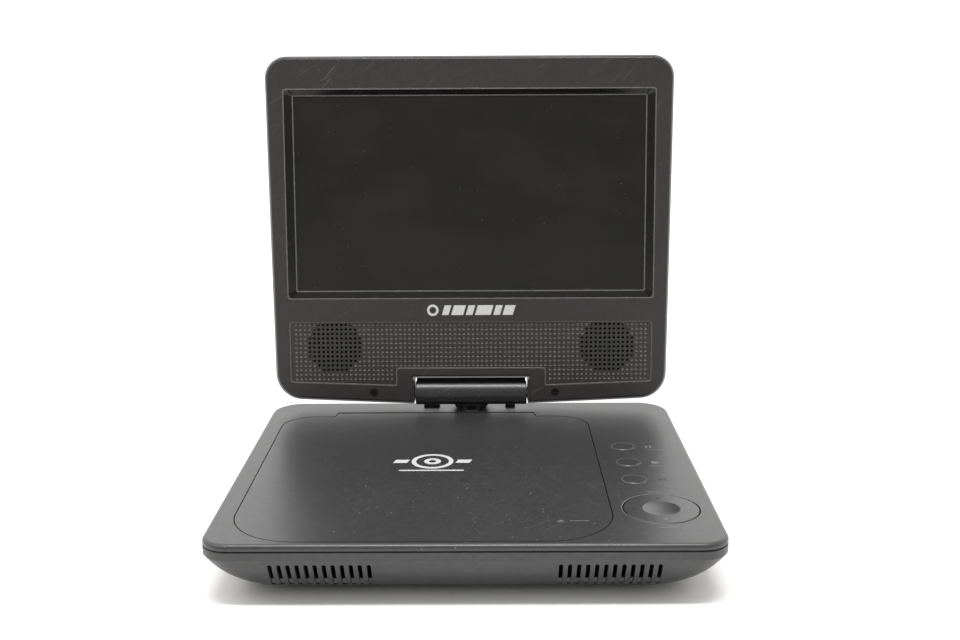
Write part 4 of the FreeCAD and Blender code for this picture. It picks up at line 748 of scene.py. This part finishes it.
# A thin grey ring round the pad, lighter than the pad: a painted highlight on the rim of its groove.
turned("nav_lip", NAV_LIP, 72, ON_NAV, "trim", "base", "grey_trim")
spin = Vector(joints["disc_spin"]["pos_m"])
ON_HUB = Matrix.Translation((spin.x, spin.y, 0))
HUB_MAT = ((10.2, 16.85), (10.2, 17.02), (10.5, 17.1), (13.8, 17.1), (14.1, 17.02), (14.1, 16.85))
turned("hub_mat", HUB_MAT, 64, ON_HUB, "rubber", "spindle", "foot_rubber")

# ---------------------------------------------------------------- stage, light and camera
floor_mesh = bpy.data.meshes.new("floor")
floor_mesh.from_pydata([(-9, -4, 0), (9, -4, 0), (9, 14, 0), (-9, 14, 0)], [], [(0, 1, 2, 3)])
floor = bpy.data.objects.new("floor", floor_mesh)
scene.collection.objects.link(floor)
pale = Nodes("pale_floor")
pale.link(
    pale.mix(pale.ramp(pale.noise(7, 3), 0.3, 0.7), (0.905, 0.90, 0.89), (0.93, 0.925, 0.92)),
    pale.shader.inputs["Base Color"],
)
pale.shader.inputs["Roughness"].default_value = 0.75
pale.shader.inputs["Specular IOR Level"].default_value = 0.2
floor_mesh.materials.append(pale.material)

world = bpy.data.worlds.new("studio")
scene.world = world
world.use_nodes = True
tree = world.node_tree
background = tree.nodes["Background"]
where = tree.nodes.new("ShaderNodeTexCoord")
split = tree.nodes.new("ShaderNodeSeparateXYZ")
shade = tree.nodes.new("ShaderNodeMapRange")
tree.links.new(where.outputs["Generated"], split.inputs["Vector"])
tree.links.new(split.outputs["Y"], shade.inputs["Value"])
shade.inputs["From Min"].default_value = -0.9
shade.inputs["From Max"].default_value = 0.15
shade.inputs["To Min"].default_value = 0.40
shade.inputs["To Max"].default_value = 1.4
tree.links.new(shade.outputs["Result"], background.inputs["Strength"])
background.inputs["Color"].default_value = (1.0, 0.995, 0.985, 1)


def softbox(name, place, target, width, depth, watts):
    """A rectangular light at a place, aimed at a target."""
    light = bpy.data.lights.new(name, "AREA")
    light.shape = "RECTANGLE"
    light.size = width
    light.size_y = depth
    light.energy = watts
    made = bpy.data.objects.new(name, light)
    made.location = place
    made.rotation_euler = (Vector(target) - Vector(place)).to_track_quat("-Z", "Y").to_euler()
    scene.collection.objects.link(made)


softbox("top_strip", (0, -0.23, 0.80), (0, 0.03, 0), 0.55, 0.08, 5.0)
softbox("side_light", (-0.9, -0.2, 1.2), (0, 0, 0.05), 0.8, 0.8, 3.0)
softbox("far_light", (0, 5.5, 3.0), (0, 6.5, 0), 9, 6, 200)

SENSOR = 36
FOCAL = 44.19375
EYE_ACROSS, EYE_FORWARD, EYE_ABOVE = 0.00724, 0.5177, 0.1628
PITCH_DOWN, YAW, ROLL = 13.17, -0.273, -0.286
camera_data = bpy.data.cameras.new("camera")
camera_data.lens = FOCAL
camera_data.sensor_width = SENSOR
camera_data.clip_start = 0.01
camera_data.clip_end = 60
camera = bpy.data.objects.new("camera", camera_data)
pitch, yaw, roll = math.radians(PITCH_DOWN), math.radians(YAW), math.radians(ROLL)
forward = Vector((math.sin(yaw) * math.cos(pitch), math.cos(yaw) * math.cos(pitch), -math.sin(pitch)))
right = Vector((math.cos(yaw), -math.sin(yaw), 0))
up = right.cross(forward)
right = right * math.cos(roll) + up * math.sin(roll)
up = right.cross(forward)
place = Vector((EYE_ACROSS, swivel.y - EYE_FORWARD, base_top + EYE_ABOVE))
camera.matrix_world = Matrix(
    (
        (right.x, up.x, -forward.x, place.x),
        (right.y, up.y, -forward.y, place.y),
        (right.z, up.z, -forward.z, place.z),
        (0, 0, 0, 1),
    )
)
scene.collection.objects.link(camera)
scene.camera = camera
scene.view_settings.view_transform = "Standard"
